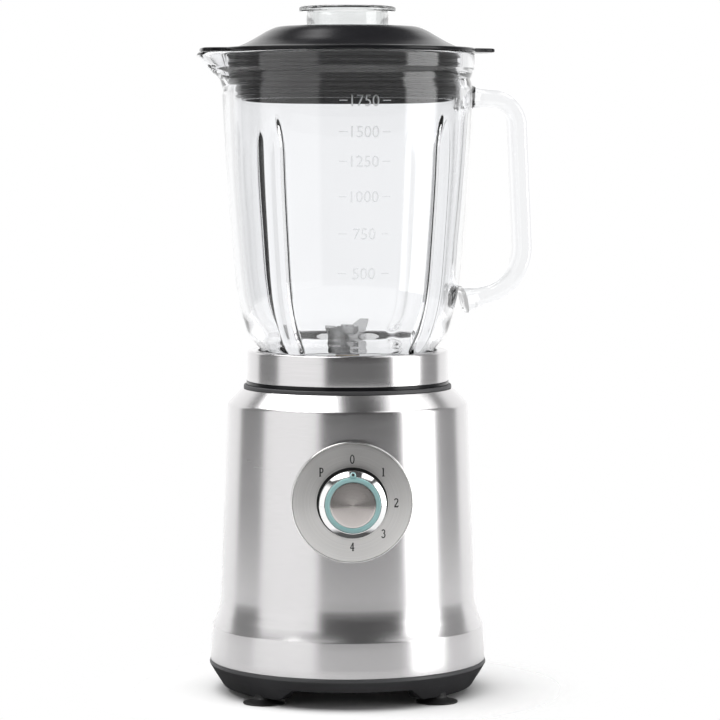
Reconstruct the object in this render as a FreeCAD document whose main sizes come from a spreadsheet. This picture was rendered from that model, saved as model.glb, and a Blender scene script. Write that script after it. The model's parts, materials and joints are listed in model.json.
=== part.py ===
import FreeCAD
import Part
import math
import os
import Sketcher

# A countertop blender: a brushed steel base with a motor, a glass jug on a collar that carries the
# blades, a lid and a clear measuring cap. Millimetres, +Z up. The origin is on the drive axis, in the
# plane that the feet stand on. The front, with the speed knob, faces -Y, and the jug's handle +X.

SHEET = {
    # feet and bottom cover
    "foot_side": 49.6,          # a foot's distance from the axis, sideways
    "foot_depth": 48.6,         # and front to back
    "foot_radius": 12.3,        # lip of a suction foot
    "foot_lip": 0.8,
    "foot_neck": 5.6,
    "foot_plug": 5.5,           # how far the foot's neck goes up into its leg
    "foot_clear": 3.4,          # the legs' height above the counter
    "leg_height": 7.1,
    "leg_span": 126.0,          # the angle that a leg covers, along one side
    "leg_depth": 22.0,          # a leg's radial length at the cover's underside
    "cover_wall": 2.5,
    "cover_slope": 0.59,        # how far the cover's side draws in for each mm down
    "cover_edge": 6.1,          # from the cover's underside to its widest line
    "cover_bead": 1.9,          # from there to the housing's lower edge
    "cover_lip": 0.7,           # how far it stands out past the housing
    "cover_spigot": 6.0,        # the cover's rim inside the housing
    "vent_width": 3.0,
    "vent_start": 16.0,
    "vent_end": 34.0,
    "vent_count": 16.0,
    # brushed steel housing
    "skirt_radius": 80.7,
    "skirt_lean": 1.1,          # how far the skirt draws in up to the sweep
    "skirt_height": 20.5,
    "waist_inset": 6.2,         # the radii above the skirt, each as far inside the skirt's
    "waist_rise": 18.0,
    "waist_curve": 42.0,
    "shoulder_inset": 10.3,
    "housing_height": 159.5,
    "shoulder_drop": 9.0,
    "shoulder_curve": 2.4,
    "neck_inset": 19.1,
    "housing_mouth": 56.0,
    "shell_wall": 1.0,
    # seat plate on top of the base
    "seat_inset": 0.7,          # the seat's rim inside the housing's neck
    "seat_lip": 2.3,
    "seat_depth": 14.0,
    "seat_well": 51.0,
    "seat_wall": 2.5,
    "lug_width": 9.0,
    "lug_height": 9.0,
    "lug_reach": 4.0,
    "lug_clear": 1.0,           # between a lug and its slot
    "rod_spread": 50.0,         # the tie rods' distance from the axis
    "rod_radius": 2.5,
    "mount_spread": 40.0,       # the motor mounts' distance from the axis
    "mount_radius": 6.0,
    "mount_height": 5.0,
    "boss_height": 11.5,
    "stud_height": 11.8,        # the seat's studs that the motor hangs from
    "screw_end": 1.0,           # a screw's end short of the bottom of its hole
    "screw_sink": 1.0,          # a cover screw's head above the leg's sole
    "thread_depth": 1.0,
    "screw_head": 3.2,
    "screw_head_height": 1.8,
    "pin_side": 40.0,
    "pin_depth": 24.0,
    "pin_radius": 2.0,
    "pin_travel": 3.5,
    # control dial and knob
    "dial_drop": 59.5,          # the dial's middle below the housing's top
    "dial_radius": 34.5,
    "dial_stand": 1.8,          # the bezel's front in front of the housing at its lower edge
    "dial_rim": 1.8,
    "dial_wall": 1.2,
    "dial_recess": 1.5,
    "dial_boss": 12.0,          # the boss that passes through the housing
    "boss_stub": 2.0,           # and its end inside the wall
    "spindle_end": 2.0,
    "knob_radius": 19.4,
    "knob_front_radius": 16.4,
    "knob_height": 12.4,
    "knob_skirt": 7.5,
    "knob_lip": 0.6,
    "knob_disc_radius": 13.0,
    "knob_recess": 2.4,
    "knob_wall": 2.0,
    "knob_gap": 0.8,
    "spindle_radius": 3.0,
    "switch_width": 26.0,
    "switch_depth": 15.0,
    # motor
    "shaft_radius": 4.0,
    "stack_share": 0.355,       # the stator's height, as a share of the room under its top
    "stack_radius": 39.0,
    "yoke_wall": 7.0,
    "pole_width": 22.0,
    "pole_shoe": 3.5,
    "pole_span": 100.0,
    "coil_wall": 4.4,
    "coil_overhang": 8.0,
    "air_gap": 0.5,
    "armature_radius": 19.0,
    "armature_slots": 12.0,
    "slot_width": 4.0,
    "slot_bottom": 11.0,
    "winding_overhang": 10.0,
    "winding_inset": 1.5,
    "commutator_radius": 11.0,
    "commutator_height": 13.0,
    "commutator_drop": 25.0,    # its lower end below the stack
    "bar_gap": 0.5,
    "bar_gap_depth": 0.6,
    "brush_width": 6.0,
    "brush_length": 11.0,
    "holder_wall": 2.0,
    "holder_length": 20.0,
    "holder_gap": 1.5,
    "fan_radius": 30.0,
    "fan_height": 7.0,
    "fan_hub": 8.0,
    "fan_blade": 1.2,
    "fan_blades": 9.0,
    "fan_disc": 1.5,
    "fan_gap": 1.0,
    "bearing_radius": 11.0,
    "bearing_height": 7.0,
    "bearing_rise": 0.5,        # the upper bearing above its bracket
    "race_gap": 2.0,
    "race_depth": 0.8,
    "cup_wall": 3.0,
    "cup_floor": 1.0,
    "cup_lip": 1.5,
    "bracket_wall": 3.0,
    "bracket_width": 14.0,
    "bracket_radius": 46.0,
    "bracket_arm": 4.0,
    "window_margin": 4.5,
    "bracket_rise": 24.0,       # the upper bracket above the stack
    "bracket_drop": 41.0,       # the lower bracket below it
    "post_radius": 3.3,
    "bolt_radius": 1.8,
    # boards
    "board_width": 58.0,
    "board_depth": 24.0,
    "board_wall": 1.6,
    "board_place": 50.0,        # its middle, in front of the axis
    "board_stand": 3.0,
    # collar, blade unit and couplings
    "jar_turn": 6.0,            # the jug's turn on the base, in degrees
    "seat_clear": 0.3,
    "rim_inset": 1.6,           # the nut's black rim inside the seat's
    "rim_lip": 1.7,
    "collar_inset": 0.3,        # the collar inside that rim
    "collar_height": 18.0,
    "collar_wall": 1.0,
    "collar_edge": 1.5,
    "collar_mouth": 52.6,
    "nut_shelf": 6.4,           # from the rim up to the blade seat
    "nut_hole": 38.0,
    "nut_skirt": 6.0,           # the nut's lower end above the floor of the seat
    "nut_skirt_wall": 7.4,
    "neck_outer": 51.0,
    "neck_inner": 45.5,
    "gasket_height": 2.0,
    "blade_seat_height": 2.5,
    "blade_seat_dome": 3.6,
    "dome_edge": 0.8,
    "dome_crown": 3.0,
    "hub_radius": 11.0,
    "hub_flare": 3.0,
    "hub_drop": 3.0,            # the hub's top below the bush's
    "bush_radius": 7.0,
    "blade_shaft_radius": 4.0,
    "bush_rise": 12.5,          # the bush above the blade seat
    "bush_drop": 5.5,           # and below it
    "blade_reach": 33.0,
    "blade_root": 15.0,
    "blade_width": 13.0,
    "blade_wall": 1.5,
    "blade_lift": 9.0,
    "blade_dip": 4.0,
    "blade_taper": 4.0,
    "blade_nut_radius": 6.4,
    "blade_nut_height": 5.0,
    "washer_height": 1.0,
    "shaft_end": 1.5,           # the blades' shaft above their nut
    "ring_wall": 2.0,
    "coupling_radius": 17.0,
    "coupling_wall": 3.7,
    "coupling_foot": 1.0,       # the motor coupling above the seat's floor
    "coupling_clear": 0.7,
    "dog_inner": 8.5,
    "dog_outer": 15.5,
    "dog_width": 7.0,
    "dog_count": 3.0,
    "dog_height": 7.5,
    # glass jug
    "jug_height": 182.0,
    "jug_neck_height": 9.0,
    "jug_foot_height": 21.0,
    "jug_foot_radius": 59.2,
    "jug_belly_height": 43.0,
    "jug_belly_radius": 64.8,
    "jug_belly_curve": 250.0,
    "jug_middle_height": 108.0,
    "jug_middle_radius": 70.4,
    "jug_middle_curve": 1200.0,
    "jug_top_drop": 22.0,
    "jug_top_radius": 73.0,
    "jug_neck_drop": 13.0,
    "jug_neck_radius": 71.8,
    "jug_bead_radius": 74.2,
    "jug_bead_height": 9.5,
    "jug_bead_slope": 2.0,
    "jug_rim_round": 1.5,
    "jug_wall": 5.0,
    "jug_bore": 66.5,
    "jug_bore_depth": 30.0,
    "jug_bore_taper": 0.5,
    "flute_stand": 1.5,         # the flutes' middle outside the inner wall, below
    "flute_radius": 4.6,
    "flute_count": 4.0,
    "flute_bottom": 26.0,       # above the jug's foot
    "flute_drop": 41.0,         # the flutes' upper end below the rim
    "spout_reach": 88.0,
    "spout_radius": 19.0,
    "spout_lip": 7.0,
    "spout_drop": 23.0,
    "spout_wall": 4.5,
    "handle_top": 26.5,         # the handle's middle below the rim
    "handle_bottom": 38.0,      # and above the jug's foot
    "handle_reach": 102.8,
    "handle_bend": 15.0,
    "handle_low_bend": 28.0,
    "handle_thick": 11.5,
    "handle_width": 20.0,
    "handle_round": 4.5,
    # lid and measuring cap
    "lid_gap": 0.4,
    "lid_radius": 74.8,
    "lid_edge": 2.2,
    "lid_foot_radius": 66.0,
    "lid_slope_radius": 58.0,
    "lid_slope_rise": 3.2,
    "lid_crown_radius": 46.0,
    "lid_crown_rise": 10.2,
    "lid_top_radius": 40.0,
    "lid_rise": 12.8,           # the lid's flat top above its edge
    "lid_wall": 2.4,
    "plug_radius": 62.0,
    "plug_depth": 27.0,
    "tab_reach": 86.0,
    "tab_width": 30.0,
    "gasket_wall": 2.2,
    "gasket_top": 1.5,
    "gasket_end": 2.0,
    "lip_reach": 1.8,
    "lip_count": 5.0,
    "cap_radius": 23.0,
    "cap_plug_radius": 21.3,
    "cap_depth": 14.0,          # the cap's plug below the lid's top
    "cap_rise": 11.6,           # the cap's top above the lid
    "cap_rim_radius": 28.2,
    "cap_rim_height": 3.4,
    "cap_wall": 2.0,
    "cap_floor": 2.5,
    "cap_flare": 1.5,           # the cap's waist and its swellings
    "cap_round": 1.0,
    "tube_drop": 4.0,           # the lid's tube ends that far above the cap's plug
    # cord inlet
    "gland_height": 33.0,
    "gland_bore": 3.6,
    "gland_flange": 8.5,
    "gland_neck": 6.3,
    "gland_lip": 2.6,
    "gland_round": 1.0,
    "gland_inside": 5.0,
    # joins and clearances
    "overlap": 1.0,             # how far an added feature starts inside what carries it
    "fit_gap": 0.2,             # between pieces that are fixed to each other
    "run_gap": 0.4,             # between pieces that move past each other
    "shaft_gap": 0.1,           # between a shaft and its bearing
}

doc = FreeCAD.newDocument("blender")
sheet = doc.addObject("Spreadsheet::Sheet", "sizes")
nodes = []


class Size:
    """A length or angle, with the expression that gives it from the sheet's cells."""

    def __init__(self, value, text):
        self.value = value
        self.text = text

    def __add__(self, other):
        other = size(other)
        return Size(self.value + other.value, f"({self.text} + {other.text})")

    def __sub__(self, other):
        other = size(other)
        return Size(self.value - other.value, f"({self.text} - {other.text})")

    def __mul__(self, other):
        other = size(other)
        return Size(self.value * other.value, f"({self.text} * {other.text})")

    def __truediv__(self, other):
        other = size(other)
        return Size(self.value / other.value, f"({self.text} / {other.text})")

    def __rtruediv__(self, other):
        return size(other) / self

    def __neg__(self):
        return Size(-self.value, f"(0 - {self.text})")

    def __radd__(self, other):
        return size(other) + self

    def __rsub__(self, other):
        return size(other) - self

    def __rmul__(self, other):
        return size(other) * self


def size(number):
    return number if isinstance(number, Size) else Size(float(number), f"{number:.6g}")


def cos(angle):
    angle = size(angle)
    return Size(math.cos(math.radians(angle.value)), f"cos({angle.text} * 1 deg)")


def sin(angle):
    angle = size(angle)
    return Size(math.sin(math.radians(angle.value)), f"sin({angle.text} * 1 deg)")


class Sheet:
    """The sheet's cells by alias, each as a Size."""

    def __getattr__(self, alias):
        return Size(float(SHEET[alias]), f"sizes.{alias}")


def fill_sheet():
    for row, (alias, value) in enumerate(SHEET.items(), start=1):
        sheet.set(f"A{row}", alias)
        sheet.set(f"B{row}", f"{value:g}")
        sheet.setAlias(f"B{row}", alias)
    doc.recompute()


fill_sheet()
s = Sheet()

# Heights and radii that several pieces share, each worked out from the sheet.
cover_bottom = s.foot_clear + s.leg_height
cover_floor = cover_bottom + s.cover_wall
skirt_bottom = cover_bottom + s.cover_edge + s.cover_bead
cover_radius = s.skirt_radius + s.cover_lip
skirt_top_radius = s.skirt_radius - s.skirt_lean
waist_radius = s.skirt_radius - s.waist_inset
shoulder_radius = s.skirt_radius - s.shoulder_inset
neck_radius = s.skirt_radius - s.neck_inset
seat_radius = neck_radius - s.seat_inset
rim_radius = seat_radius - s.rim_inset
collar_radius = rim_radius - s.collar_inset
housing_top = skirt_bottom + s.housing_height
dial_height = housing_top - s.dial_drop
shoulder_top = housing_top - s.shoulder_drop
waist_top = skirt_bottom + s.skirt_height + s.waist_rise
seat_top = housing_top + s.seat_lip
seat_floor = seat_top - s.seat_depth
seat_under = seat_floor - s.seat_wall
rim_bottom = seat_top + s.seat_clear
collar_bottom = rim_bottom + s.rim_lip
collar_top = collar_bottom + s.collar_height
seat_shelf = rim_bottom + s.nut_shelf
nut_bottom = seat_floor + s.nut_skirt
blade_seat_top = seat_shelf + s.blade_seat_height
jug_bottom = blade_seat_top + s.gasket_height
jug_top = jug_bottom + s.jug_height
lid_bottom = jug_top + s.lid_gap
lid_edge_top = lid_bottom + s.lid_edge
lid_top = lid_edge_top + s.lid_rise
cap_top = lid_top + s.cap_rise
cap_bottom = lid_top - s.cap_depth
mount_top = seat_under - s.stud_height
mount_bottom = mount_top - s.mount_height
upper_bracket_bottom = mount_bottom - s.bracket_wall
stack_top = upper_bracket_bottom - s.bracket_rise
stack_height = (stack_top - cover_floor) * s.stack_share
stack_bottom = stack_top - stack_height
yoke_inner = s.stack_radius - s.yoke_wall
bolt_spread = s.stack_radius - s.yoke_wall / 2
commutator_bottom = stack_bottom - s.commutator_drop
commutator_top = commutator_bottom + s.commutator_height
brush_height = commutator_bottom + s.commutator_height / 2
holder_end = s.commutator_radius + s.holder_gap + s.holder_length
holder_bottom = brush_height - s.brush_width / 2 - s.holder_wall
lower_bracket_bottom = stack_bottom - s.bracket_drop
lower_bearing_bottom = lower_bracket_bottom + s.fit_gap + s.cup_floor
upper_bearing_top = upper_bracket_bottom + s.bracket_wall + s.bearing_rise
seal_radius = s.shaft_radius * 2
disc_bottom = seat_floor + s.coupling_foot
disc_top = disc_bottom + s.coupling_wall
dog_tip = disc_top + s.dog_height
jar_disc_bottom = dog_tip + s.coupling_clear
jar_disc_top = jar_disc_bottom + s.coupling_wall
bush_top = blade_seat_top + s.bush_rise
bush_bottom = blade_seat_top - s.bush_drop
blade_bottom = bush_top + s.run_gap + s.washer_height
blade_gap = s.blade_wall + s.fit_gap
blade_nut_bottom = blade_bottom + blade_gap * 2


def wall_radius(height):
    """The housing's outer radius on its tapered wall, at a height above the counter."""
    share = (height - waist_top) / (shoulder_top - waist_top)
    return waist_radius + (shoulder_radius - waist_radius) * share


def skirt_wall(height):
    """The housing's outer radius on its flared skirt, at a height above the counter."""
    share = (height - skirt_bottom) / s.skirt_height
    return s.skirt_radius + (skirt_top_radius - s.skirt_radius) * share


dial_face = wall_radius(dial_height - s.dial_radius) + s.dial_stand
plate_back = dial_face - s.dial_recess
plate_face = plate_back + s.dial_wall
knob_back = plate_face + s.knob_gap
knob_front = knob_back + s.knob_height
knob_web = knob_front - s.knob_recess
switch_front = wall_radius(dial_height) - s.shell_wall - s.boss_stub
gland_hole = s.gland_neck + s.fit_gap


def keep(shape_object, label):
    """Marks an object of the document as a sub-part, written out under its label."""
    shape_object.Label = label
    nodes.append(shape_object)
    return shape_object


def new_body(label):
    return keep(doc.addObject("PartDesign::Body", label), label)


def bind(target, path, value):
    target.setExpression(path, size(value).text)


def plane_of(body, role):
    return next(f for f in body.Origin.OriginFeatures if f.Role == role)


def arc_through(start, end, radius):
    """The shorter arc from start to end. A positive radius turns left on the way, a negative one right."""
    chord = end - start
    half = chord.Length / 2
    left = FreeCAD.Vector(-chord.y, chord.x, 0).normalize()
    side = 1 if radius > 0 else -1
    drop = math.sqrt(max(radius * radius - half * half, 0.0))
    middle = (start + end) / 2 - left * side * (abs(radius) - drop)
    return Part.Arc(start, middle, end)


def draw(body, role, loops, lift=0, turn=None, rise=None):
    """A sketch on one of the body's planes. A loop is a list of corners (x, y) or (x, y, r), where r is
    the radius of the arc that arrives at the corner, or a circle ("circle", x, y, r). Lift moves the
    sketch along its normal, rise along its own y, and turn turns it about its normal."""
    sketch = body.newObject("Sketcher::SketchObject", "outline")
    sketch.AttachmentSupport = [(plane_of(body, role), "")]
    sketch.MapMode = "FlatFace"
    bind(sketch, ".AttachmentOffset.Base.z", lift)
    if rise is not None:
        bind(sketch, ".AttachmentOffset.Base.y", rise)
    if turn is not None:
        bind(sketch, ".AttachmentOffset.Rotation.Yaw", turn)
    for loop in loops:
        if loop[0] == "circle":
            draw_circle(sketch, *[size(v) for v in loop[1:]])
        else:
            draw_loop(sketch, [[size(v) for v in corner] for corner in loop])
    return sketch


def fix(sketch, kind, *where, value):
    number = sketch.addConstraint(Sketcher.Constraint(kind, *where, value.value))
    bind(sketch, f"Constraints[{number}]", value)


def draw_circle(sketch, x, y, radius):
    centre = FreeCAD.Vector(x.value, y.value, 0)
    circle = Part.Circle(centre, FreeCAD.Vector(0, 0, 1), radius.value)
    edge = sketch.addGeometry(circle, False)
    fix(sketch, "DistanceX", -1, 1, edge, 3, value=x)
    fix(sketch, "DistanceY", -1, 1, edge, 3, value=y)
    fix(sketch, "Radius", edge, value=radius)


def draw_path(sketch, corners):
    """An open line through corners, given as for a closed outline."""
    draw_loop(sketch, [[size(v) for v in corner] for corner in corners], closed=False)


def draw_loop(sketch, corners, closed=True):
    points = [FreeCAD.Vector(c[0].value, c[1].value, 0) for c in corners]
    ends = []
    for i, point in enumerate(points if closed else points[:-1]):
        after = (i + 1) % len(points)
        arriving = corners[after][2] if len(corners[after]) > 2 else None
        if arriving is None:
            edge = sketch.addGeometry(Part.LineSegment(point, points[after]), False)
        else:
            curve = arc_through(point, points[after], arriving.value)
            edge = sketch.addGeometry(curve, False)
        forward = (sketch.getPoint(edge, 1) - point).Length < 1e-6
        ends.append((edge, 1 if forward else 2, 2 if forward else 1, arriving))
    for i, (edge, first, last, arriving) in enumerate(ends):
        following = ends[(i + 1) % len(ends)]
        if closed or following is not ends[0]:
            join = Sketcher.Constraint("Coincident", edge, last, following[0], following[1])
            sketch.addConstraint(join)
        else:
            fix(sketch, "DistanceX", -1, 1, edge, last, value=corners[-1][0])
            fix(sketch, "DistanceY", -1, 1, edge, last, value=corners[-1][1])
        fix(sketch, "DistanceX", -1, 1, edge, first, value=corners[i][0])
        fix(sketch, "DistanceY", -1, 1, edge, first, value=corners[i][1])
        if arriving is not None:
            radius = arriving if arriving.value > 0 else -arriving
            fix(sketch, "Radius", edge, value=radius)


def revolve(body, corners, role="XZ_Plane", axis="V_Axis", cut=False, **place):
    """Turns an outline about an axis of its own sketch: by default (radius, height) about Z."""
    sketch = draw(body, role, [corners], **place)
    kind = "PartDesign::Groove" if cut else "PartDesign::Revolution"
    feature = body.newObject(kind, "turned")
    feature.Profile = sketch
    feature.ReferenceAxis = (sketch, [axis])
    feature.Angle = 360
    return feature


def turned_about_y(body, height, corners):
    """Turns an outline of (y, radius) about a level axis that runs front to back."""
    return revolve(body, corners, role="YZ_Plane", axis="H_Axis", rise=height)


def front(corners):
    """Corners given by their distance in front of the jug's axis, as (y, radius)."""
    return [(-size(ahead), radius) for ahead, radius in corners]


def sector(body, corners, angle, about):
    """Turns an outline of (radius, height) through part of a circle, whose middle is at about."""
    sketch = body.newObject("Sketcher::SketchObject", "outline")
    sketch.AttachmentSupport = [(plane_of(body, "XZ_Plane"), "")]
    sketch.MapMode = "FlatFace"
    upright = FreeCAD.Rotation(FreeCAD.Vector(0, 1, 0), 1)
    sketch.AttachmentOffset = FreeCAD.Placement(FreeCAD.Vector(0, 0, 0), upright)
    bind(sketch, ".AttachmentOffset.Rotation.Angle", about)
    draw_loop(sketch, [[size(v) for v in corner] for corner in corners])
    feature = body.newObject("PartDesign::Revolution", "sector")
    feature.Profile = sketch
    feature.ReferenceAxis = (sketch, ["V_Axis"])
    feature.Midplane = True
    bind(feature, "Angle", angle)
    return feature


def pad(body, role, loops, length, cut=False, both=False, **place):
    """Pushes an outline along its plane's normal, or cuts with it against the normal."""
    sketch = draw(body, role, loops, **place)
    feature = body.newObject("PartDesign::Pocket" if cut else "PartDesign::Pad", "pushed")
    feature.Profile = sketch
    feature.Midplane = both
    bind(feature, "Length", length)
    return feature


def repeat(body, features, count):
    """A ring of copies about Z."""
    copies = body.newObject("PartDesign::PolarPattern", "copies")
    copies.Originals = features
    copies.Axis = (plane_of(body, "Z_Axis"), [""])
    copies.Angle = 360
    bind(copies, "Occurrences", count)
    body.Tip = copies
    return copies


def loft(body, sketches, cut=False):
    kind = "PartDesign::SubtractiveLoft" if cut else "PartDesign::AdditiveLoft"
    feature = body.newObject(kind, "loft")
    feature.Profile = sketches[0]
    feature.Sections = sketches[1:]
    feature.Ruled = True
    return feature


def rect(x0, x1, y0, y1):
    return [(x0, y0), (x1, y0), (x1, y1), (x0, y1)]


def ring(inner, outer, low, high):
    """The outline of a ring or tube about Z."""
    return rect(inner, outer, low, high)


def turn(body, angle):
    """Turns a finished piece about Z, by an angle that the sheet gives."""
    body.Placement = FreeCAD.Placement(
        FreeCAD.Vector(0, 0, 0), FreeCAD.Rotation(FreeCAD.Vector(0, 0, 1), size(angle).value)
    )
    bind(body, ".Placement.Rotation.Angle", size(angle))


def spots(spread, radius, angles):
    """Circles on a ring about Z, one at each angle."""
    return [("circle", cos(a) * spread, sin(a) * spread, radius) for a in angles]


def studs(body, circles, low, high):
    """Separate or joined round posts between two heights."""
    for circle in circles:
        pad(body, "XY_Plane", [circle], high - low, lift=low)


DIAGONALS = [45, 135, 225, 315]
# ---- housing, bottom cover and feet ----


def base_housing():
    """Drawn steel shell: a flared skirt, a tapered wall and a sloping shoulder, open below."""
    wall = s.shell_wall
    bend = s.shoulder_curve
    skirt_top = skirt_bottom + s.skirt_height
    body = new_body("base_housing")
    revolve(body, [
        (s.skirt_radius, skirt_bottom),
        (skirt_top_radius, skirt_top),
        (waist_radius, waist_top, -s.waist_curve),
        (shoulder_radius, shoulder_top),
        (shoulder_radius - bend * 0.5, shoulder_top + bend * 0.8, bend * 1.4),
        (neck_radius, housing_top),
        (s.housing_mouth, housing_top),
        (s.housing_mouth, housing_top - wall),
        (neck_radius - wall * 0.4, housing_top - wall),
        (shoulder_radius - wall - bend * 0.5, shoulder_top + bend * 0.5),
        (shoulder_radius - wall, shoulder_top - bend * 0.4, -bend * 1.2),
        (waist_radius - wall, waist_top),
        (skirt_top_radius - wall, skirt_top, s.waist_curve + wall),
        (s.skirt_radius - wall, skirt_bottom),
    ])
    dial_hole = ("circle", 0, dial_height, s.dial_boss + s.fit_gap)
    pad(body, "XZ_Plane", [dial_hole], s.skirt_radius, cut=True, lift=s.skirt_radius)
    cord_hole = ("circle", 0, s.gland_height, gland_hole)
    pad(body, "XZ_Plane", [cord_hole], s.skirt_radius, cut=True)


def bottom_cover():
    """Plastic pan that closes the base, with air slots and a slanted leg along each side."""
    def side(height):
        return cover_radius - (cover_bottom + s.cover_edge - height) * s.cover_slope
    spigot = skirt_wall(skirt_bottom + s.cover_spigot) - s.shell_wall - s.fit_gap
    body = new_body("bottom_cover")
    revolve(body, [
        (0, cover_bottom),
        (side(cover_bottom), cover_bottom),
        (cover_radius, cover_bottom + s.cover_edge),
        (s.skirt_radius, skirt_bottom),
        (spigot, skirt_bottom),
        (spigot, skirt_bottom + s.cover_spigot),
        (spigot - s.cover_wall, skirt_bottom + s.cover_spigot),
        (spigot - s.cover_wall, cover_floor),
        (0, cover_floor),
    ])
    inner = side(cover_bottom) - s.leg_depth
    for angle in (0, 180):
        sector(body, [
            (inner, cover_bottom + s.overlap),
            (inner, s.foot_clear),
            (side(s.foot_clear), s.foot_clear),
            (side(cover_bottom + s.overlap), cover_bottom + s.overlap),
        ], angle=s.leg_span, about=angle)
    feet = [("circle", x, y, s.foot_neck) for x, y in foot_places()]
    pad(body, "XY_Plane", feet, s.foot_plug, cut=True, lift=s.foot_clear + s.foot_plug)
    slot = rect(s.vent_start, s.vent_end, -s.vent_width / 2, s.vent_width / 2)
    vent = pad(body, "XY_Plane", [slot], s.cover_wall, cut=True, lift=cover_floor)
    repeat(body, [vent], s.vent_count)
    holes = spots(s.rod_spread, s.rod_radius - s.thread_depth, DIAGONALS)
    pad(body, "XY_Plane", holes, s.cover_wall + s.leg_height, cut=True, lift=cover_floor)


def foot_places():
    return [(x * s.foot_side, y * s.foot_depth) for x, y in ((-1, -1), (1, -1), (1, 1), (-1, 1))]


def suction_foot(name, x, y):
    """Rubber foot: a neck held in the leg and a thin flared lip, hollow underneath."""
    body = new_body(name)
    top = s.foot_clear + s.foot_plug
    revolve(body, [
        (0, s.foot_lip * 1.6),
        (s.foot_radius - s.foot_lip * 1.5, 0),
        (s.foot_radius, 0),
        (s.foot_radius, s.foot_lip),
        (s.foot_neck, s.foot_lip * 2.6),
        (s.foot_neck, top),
        (0, top),
    ])
    body.Placement.Base = FreeCAD.Vector(x.value, y.value, 0)
    bind(body, ".Placement.Base.x", x)
    bind(body, ".Placement.Base.y", y)


def jar_seat():
    """Plate on top of the base: a rim, a well with four lugs, and bosses for rods and motor."""
    body = new_body("jar_seat")
    well = s.seat_well
    revolve(body, [
        (seal_radius, seat_under),
        (well + s.seat_wall, seat_under),
        (well + s.seat_wall, housing_top),
        (seat_radius, housing_top),
        (seat_radius, seat_top),
        (well, seat_top),
        (well, seat_floor),
        (seal_radius, seat_floor),
    ])
    boss_low = seat_under - s.boss_height
    lug = rect(well - s.lug_reach, well + s.overlap, -s.lug_width / 2, s.lug_width / 2)
    first = pad(body, "XY_Plane", [lug], s.lug_height, lift=seat_floor, turn=s.jar_turn)
    repeat(body, [first], 4)
    rod_boss = s.rod_radius + s.seat_wall
    for circle in spots(s.rod_spread, rod_boss, DIAGONALS):
        pad(body, "XY_Plane", [circle], s.boss_height, lift=boss_low)
    for circle in spots(s.mount_spread, s.mount_radius, DIAGONALS):
        pad(body, "XY_Plane", [circle], seat_under - mount_top, lift=mount_top)
    sockets = spots(s.rod_spread, s.rod_radius, DIAGONALS)
    pad(body, "XY_Plane", sockets, s.boss_height, cut=True, lift=seat_under)
    threads = spots(s.mount_spread, s.bolt_radius, DIAGONALS)
    pad(body, "XY_Plane", threads, seat_under - mount_top, cut=True, lift=seat_under)
    pin_hole = ("circle", s.pin_side, s.pin_depth, s.pin_radius + s.run_gap)
    pad(body, "XY_Plane", [pin_hole], s.seat_wall, cut=True, lift=seat_floor)


def shaft_seal():
    """Lip seal that keeps spilt liquid out of the motor."""
    body = new_body("shaft_seal")
    revolve(body, ring(s.shaft_radius + s.shaft_gap, seal_radius, seat_under, seat_floor))


def tie_rods():
    """Four steel rods that hold the seat plate, the housing and the bottom cover together."""
    body = new_body("tie_rods")
    top = seat_under - s.fit_gap
    for circle in spots(s.rod_spread, s.rod_radius, DIAGONALS):
        pad(body, "XY_Plane", [circle], top - cover_floor, lift=cover_floor)


def cover_screws():
    """Four screws, from below through the cover into the tie rods."""
    body = new_body("cover_screws")
    shank = s.rod_radius - s.thread_depth - s.fit_gap
    low = s.foot_clear + s.screw_sink
    for circle in spots(s.rod_spread, shank, DIAGONALS):
        pad(body, "XY_Plane", [circle], cover_floor - low, lift=low)


def cord_gland():
    """Bush in the housing's rear wall that the cord comes out of."""
    body = new_body("cord_gland")
    wall = skirt_wall(s.gland_height - s.gland_flange)
    inside = wall - s.shell_wall - s.gland_inside
    turned_about_y(body, s.gland_height, [
        (inside, s.gland_bore),
        (inside, s.gland_neck),
        (wall, s.gland_neck),
        (wall, s.gland_flange),
        (wall + s.gland_lip - s.gland_round, s.gland_flange),
        (wall + s.gland_lip, s.gland_flange - s.gland_round),
        (wall + s.gland_lip, s.gland_bore),
    ])


def safety_plunger():
    """Pin through the well's floor, pressed down by the jar on its seat."""
    body = new_body("safety_plunger")
    circle = ("circle", s.pin_side, s.pin_depth, s.pin_radius)
    top = nut_bottom - s.run_gap
    low = seat_under - s.pin_travel
    pad(body, "XY_Plane", [circle], top - low, lift=low)


def safety_switch():
    """Microswitch under the well, worked by the plunger."""
    body = new_body("safety_switch")
    top = seat_under - s.pin_travel - s.run_gap
    half = s.pin_radius * 2
    block = rect(s.pin_side - half, s.pin_side + half * 2, s.pin_depth - half, s.pin_depth + half)
    pad(body, "XY_Plane", [block], half * 2, lift=top - half * 2)
    heel = rect(s.pin_side + half, s.pin_side + half * 2, s.pin_depth - half, s.pin_depth + half)
    pad(body, "XY_Plane", [heel], seat_under - top + half, lift=top - half)


# ---- dial, knob and boards ----


def dial_bezel():
    """Round frame on the front. Its back follows the housing, and a boss passes through the wall."""
    body = new_body("dial_bezel")
    disc = ("circle", 0, dial_height, s.dial_radius)
    depth = s.dial_radius
    pad(body, "XZ_Plane", [disc], depth, lift=dial_face - depth)
    low = dial_height - s.dial_radius * 1.2
    high = dial_height + s.dial_radius * 1.2
    revolve(body, [(0, low), (wall_radius(low), low), (wall_radius(high), high), (0, high)], cut=True)
    boss = ("circle", 0, dial_height, s.dial_boss)
    boss_depth = dial_face - wall_radius(dial_height) + s.shell_wall + s.boss_stub
    pad(body, "XZ_Plane", [boss], boss_depth, lift=dial_face - boss_depth)
    recess = ("circle", 0, dial_height, s.dial_radius - s.dial_rim)
    pad(body, "XZ_Plane", [recess], s.dial_recess, cut=True, lift=dial_face)
    bore = ("circle", 0, dial_height, s.spindle_radius + s.run_gap)
    pad(body, "XZ_Plane", [bore], s.dial_radius, cut=True, lift=dial_face)


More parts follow.
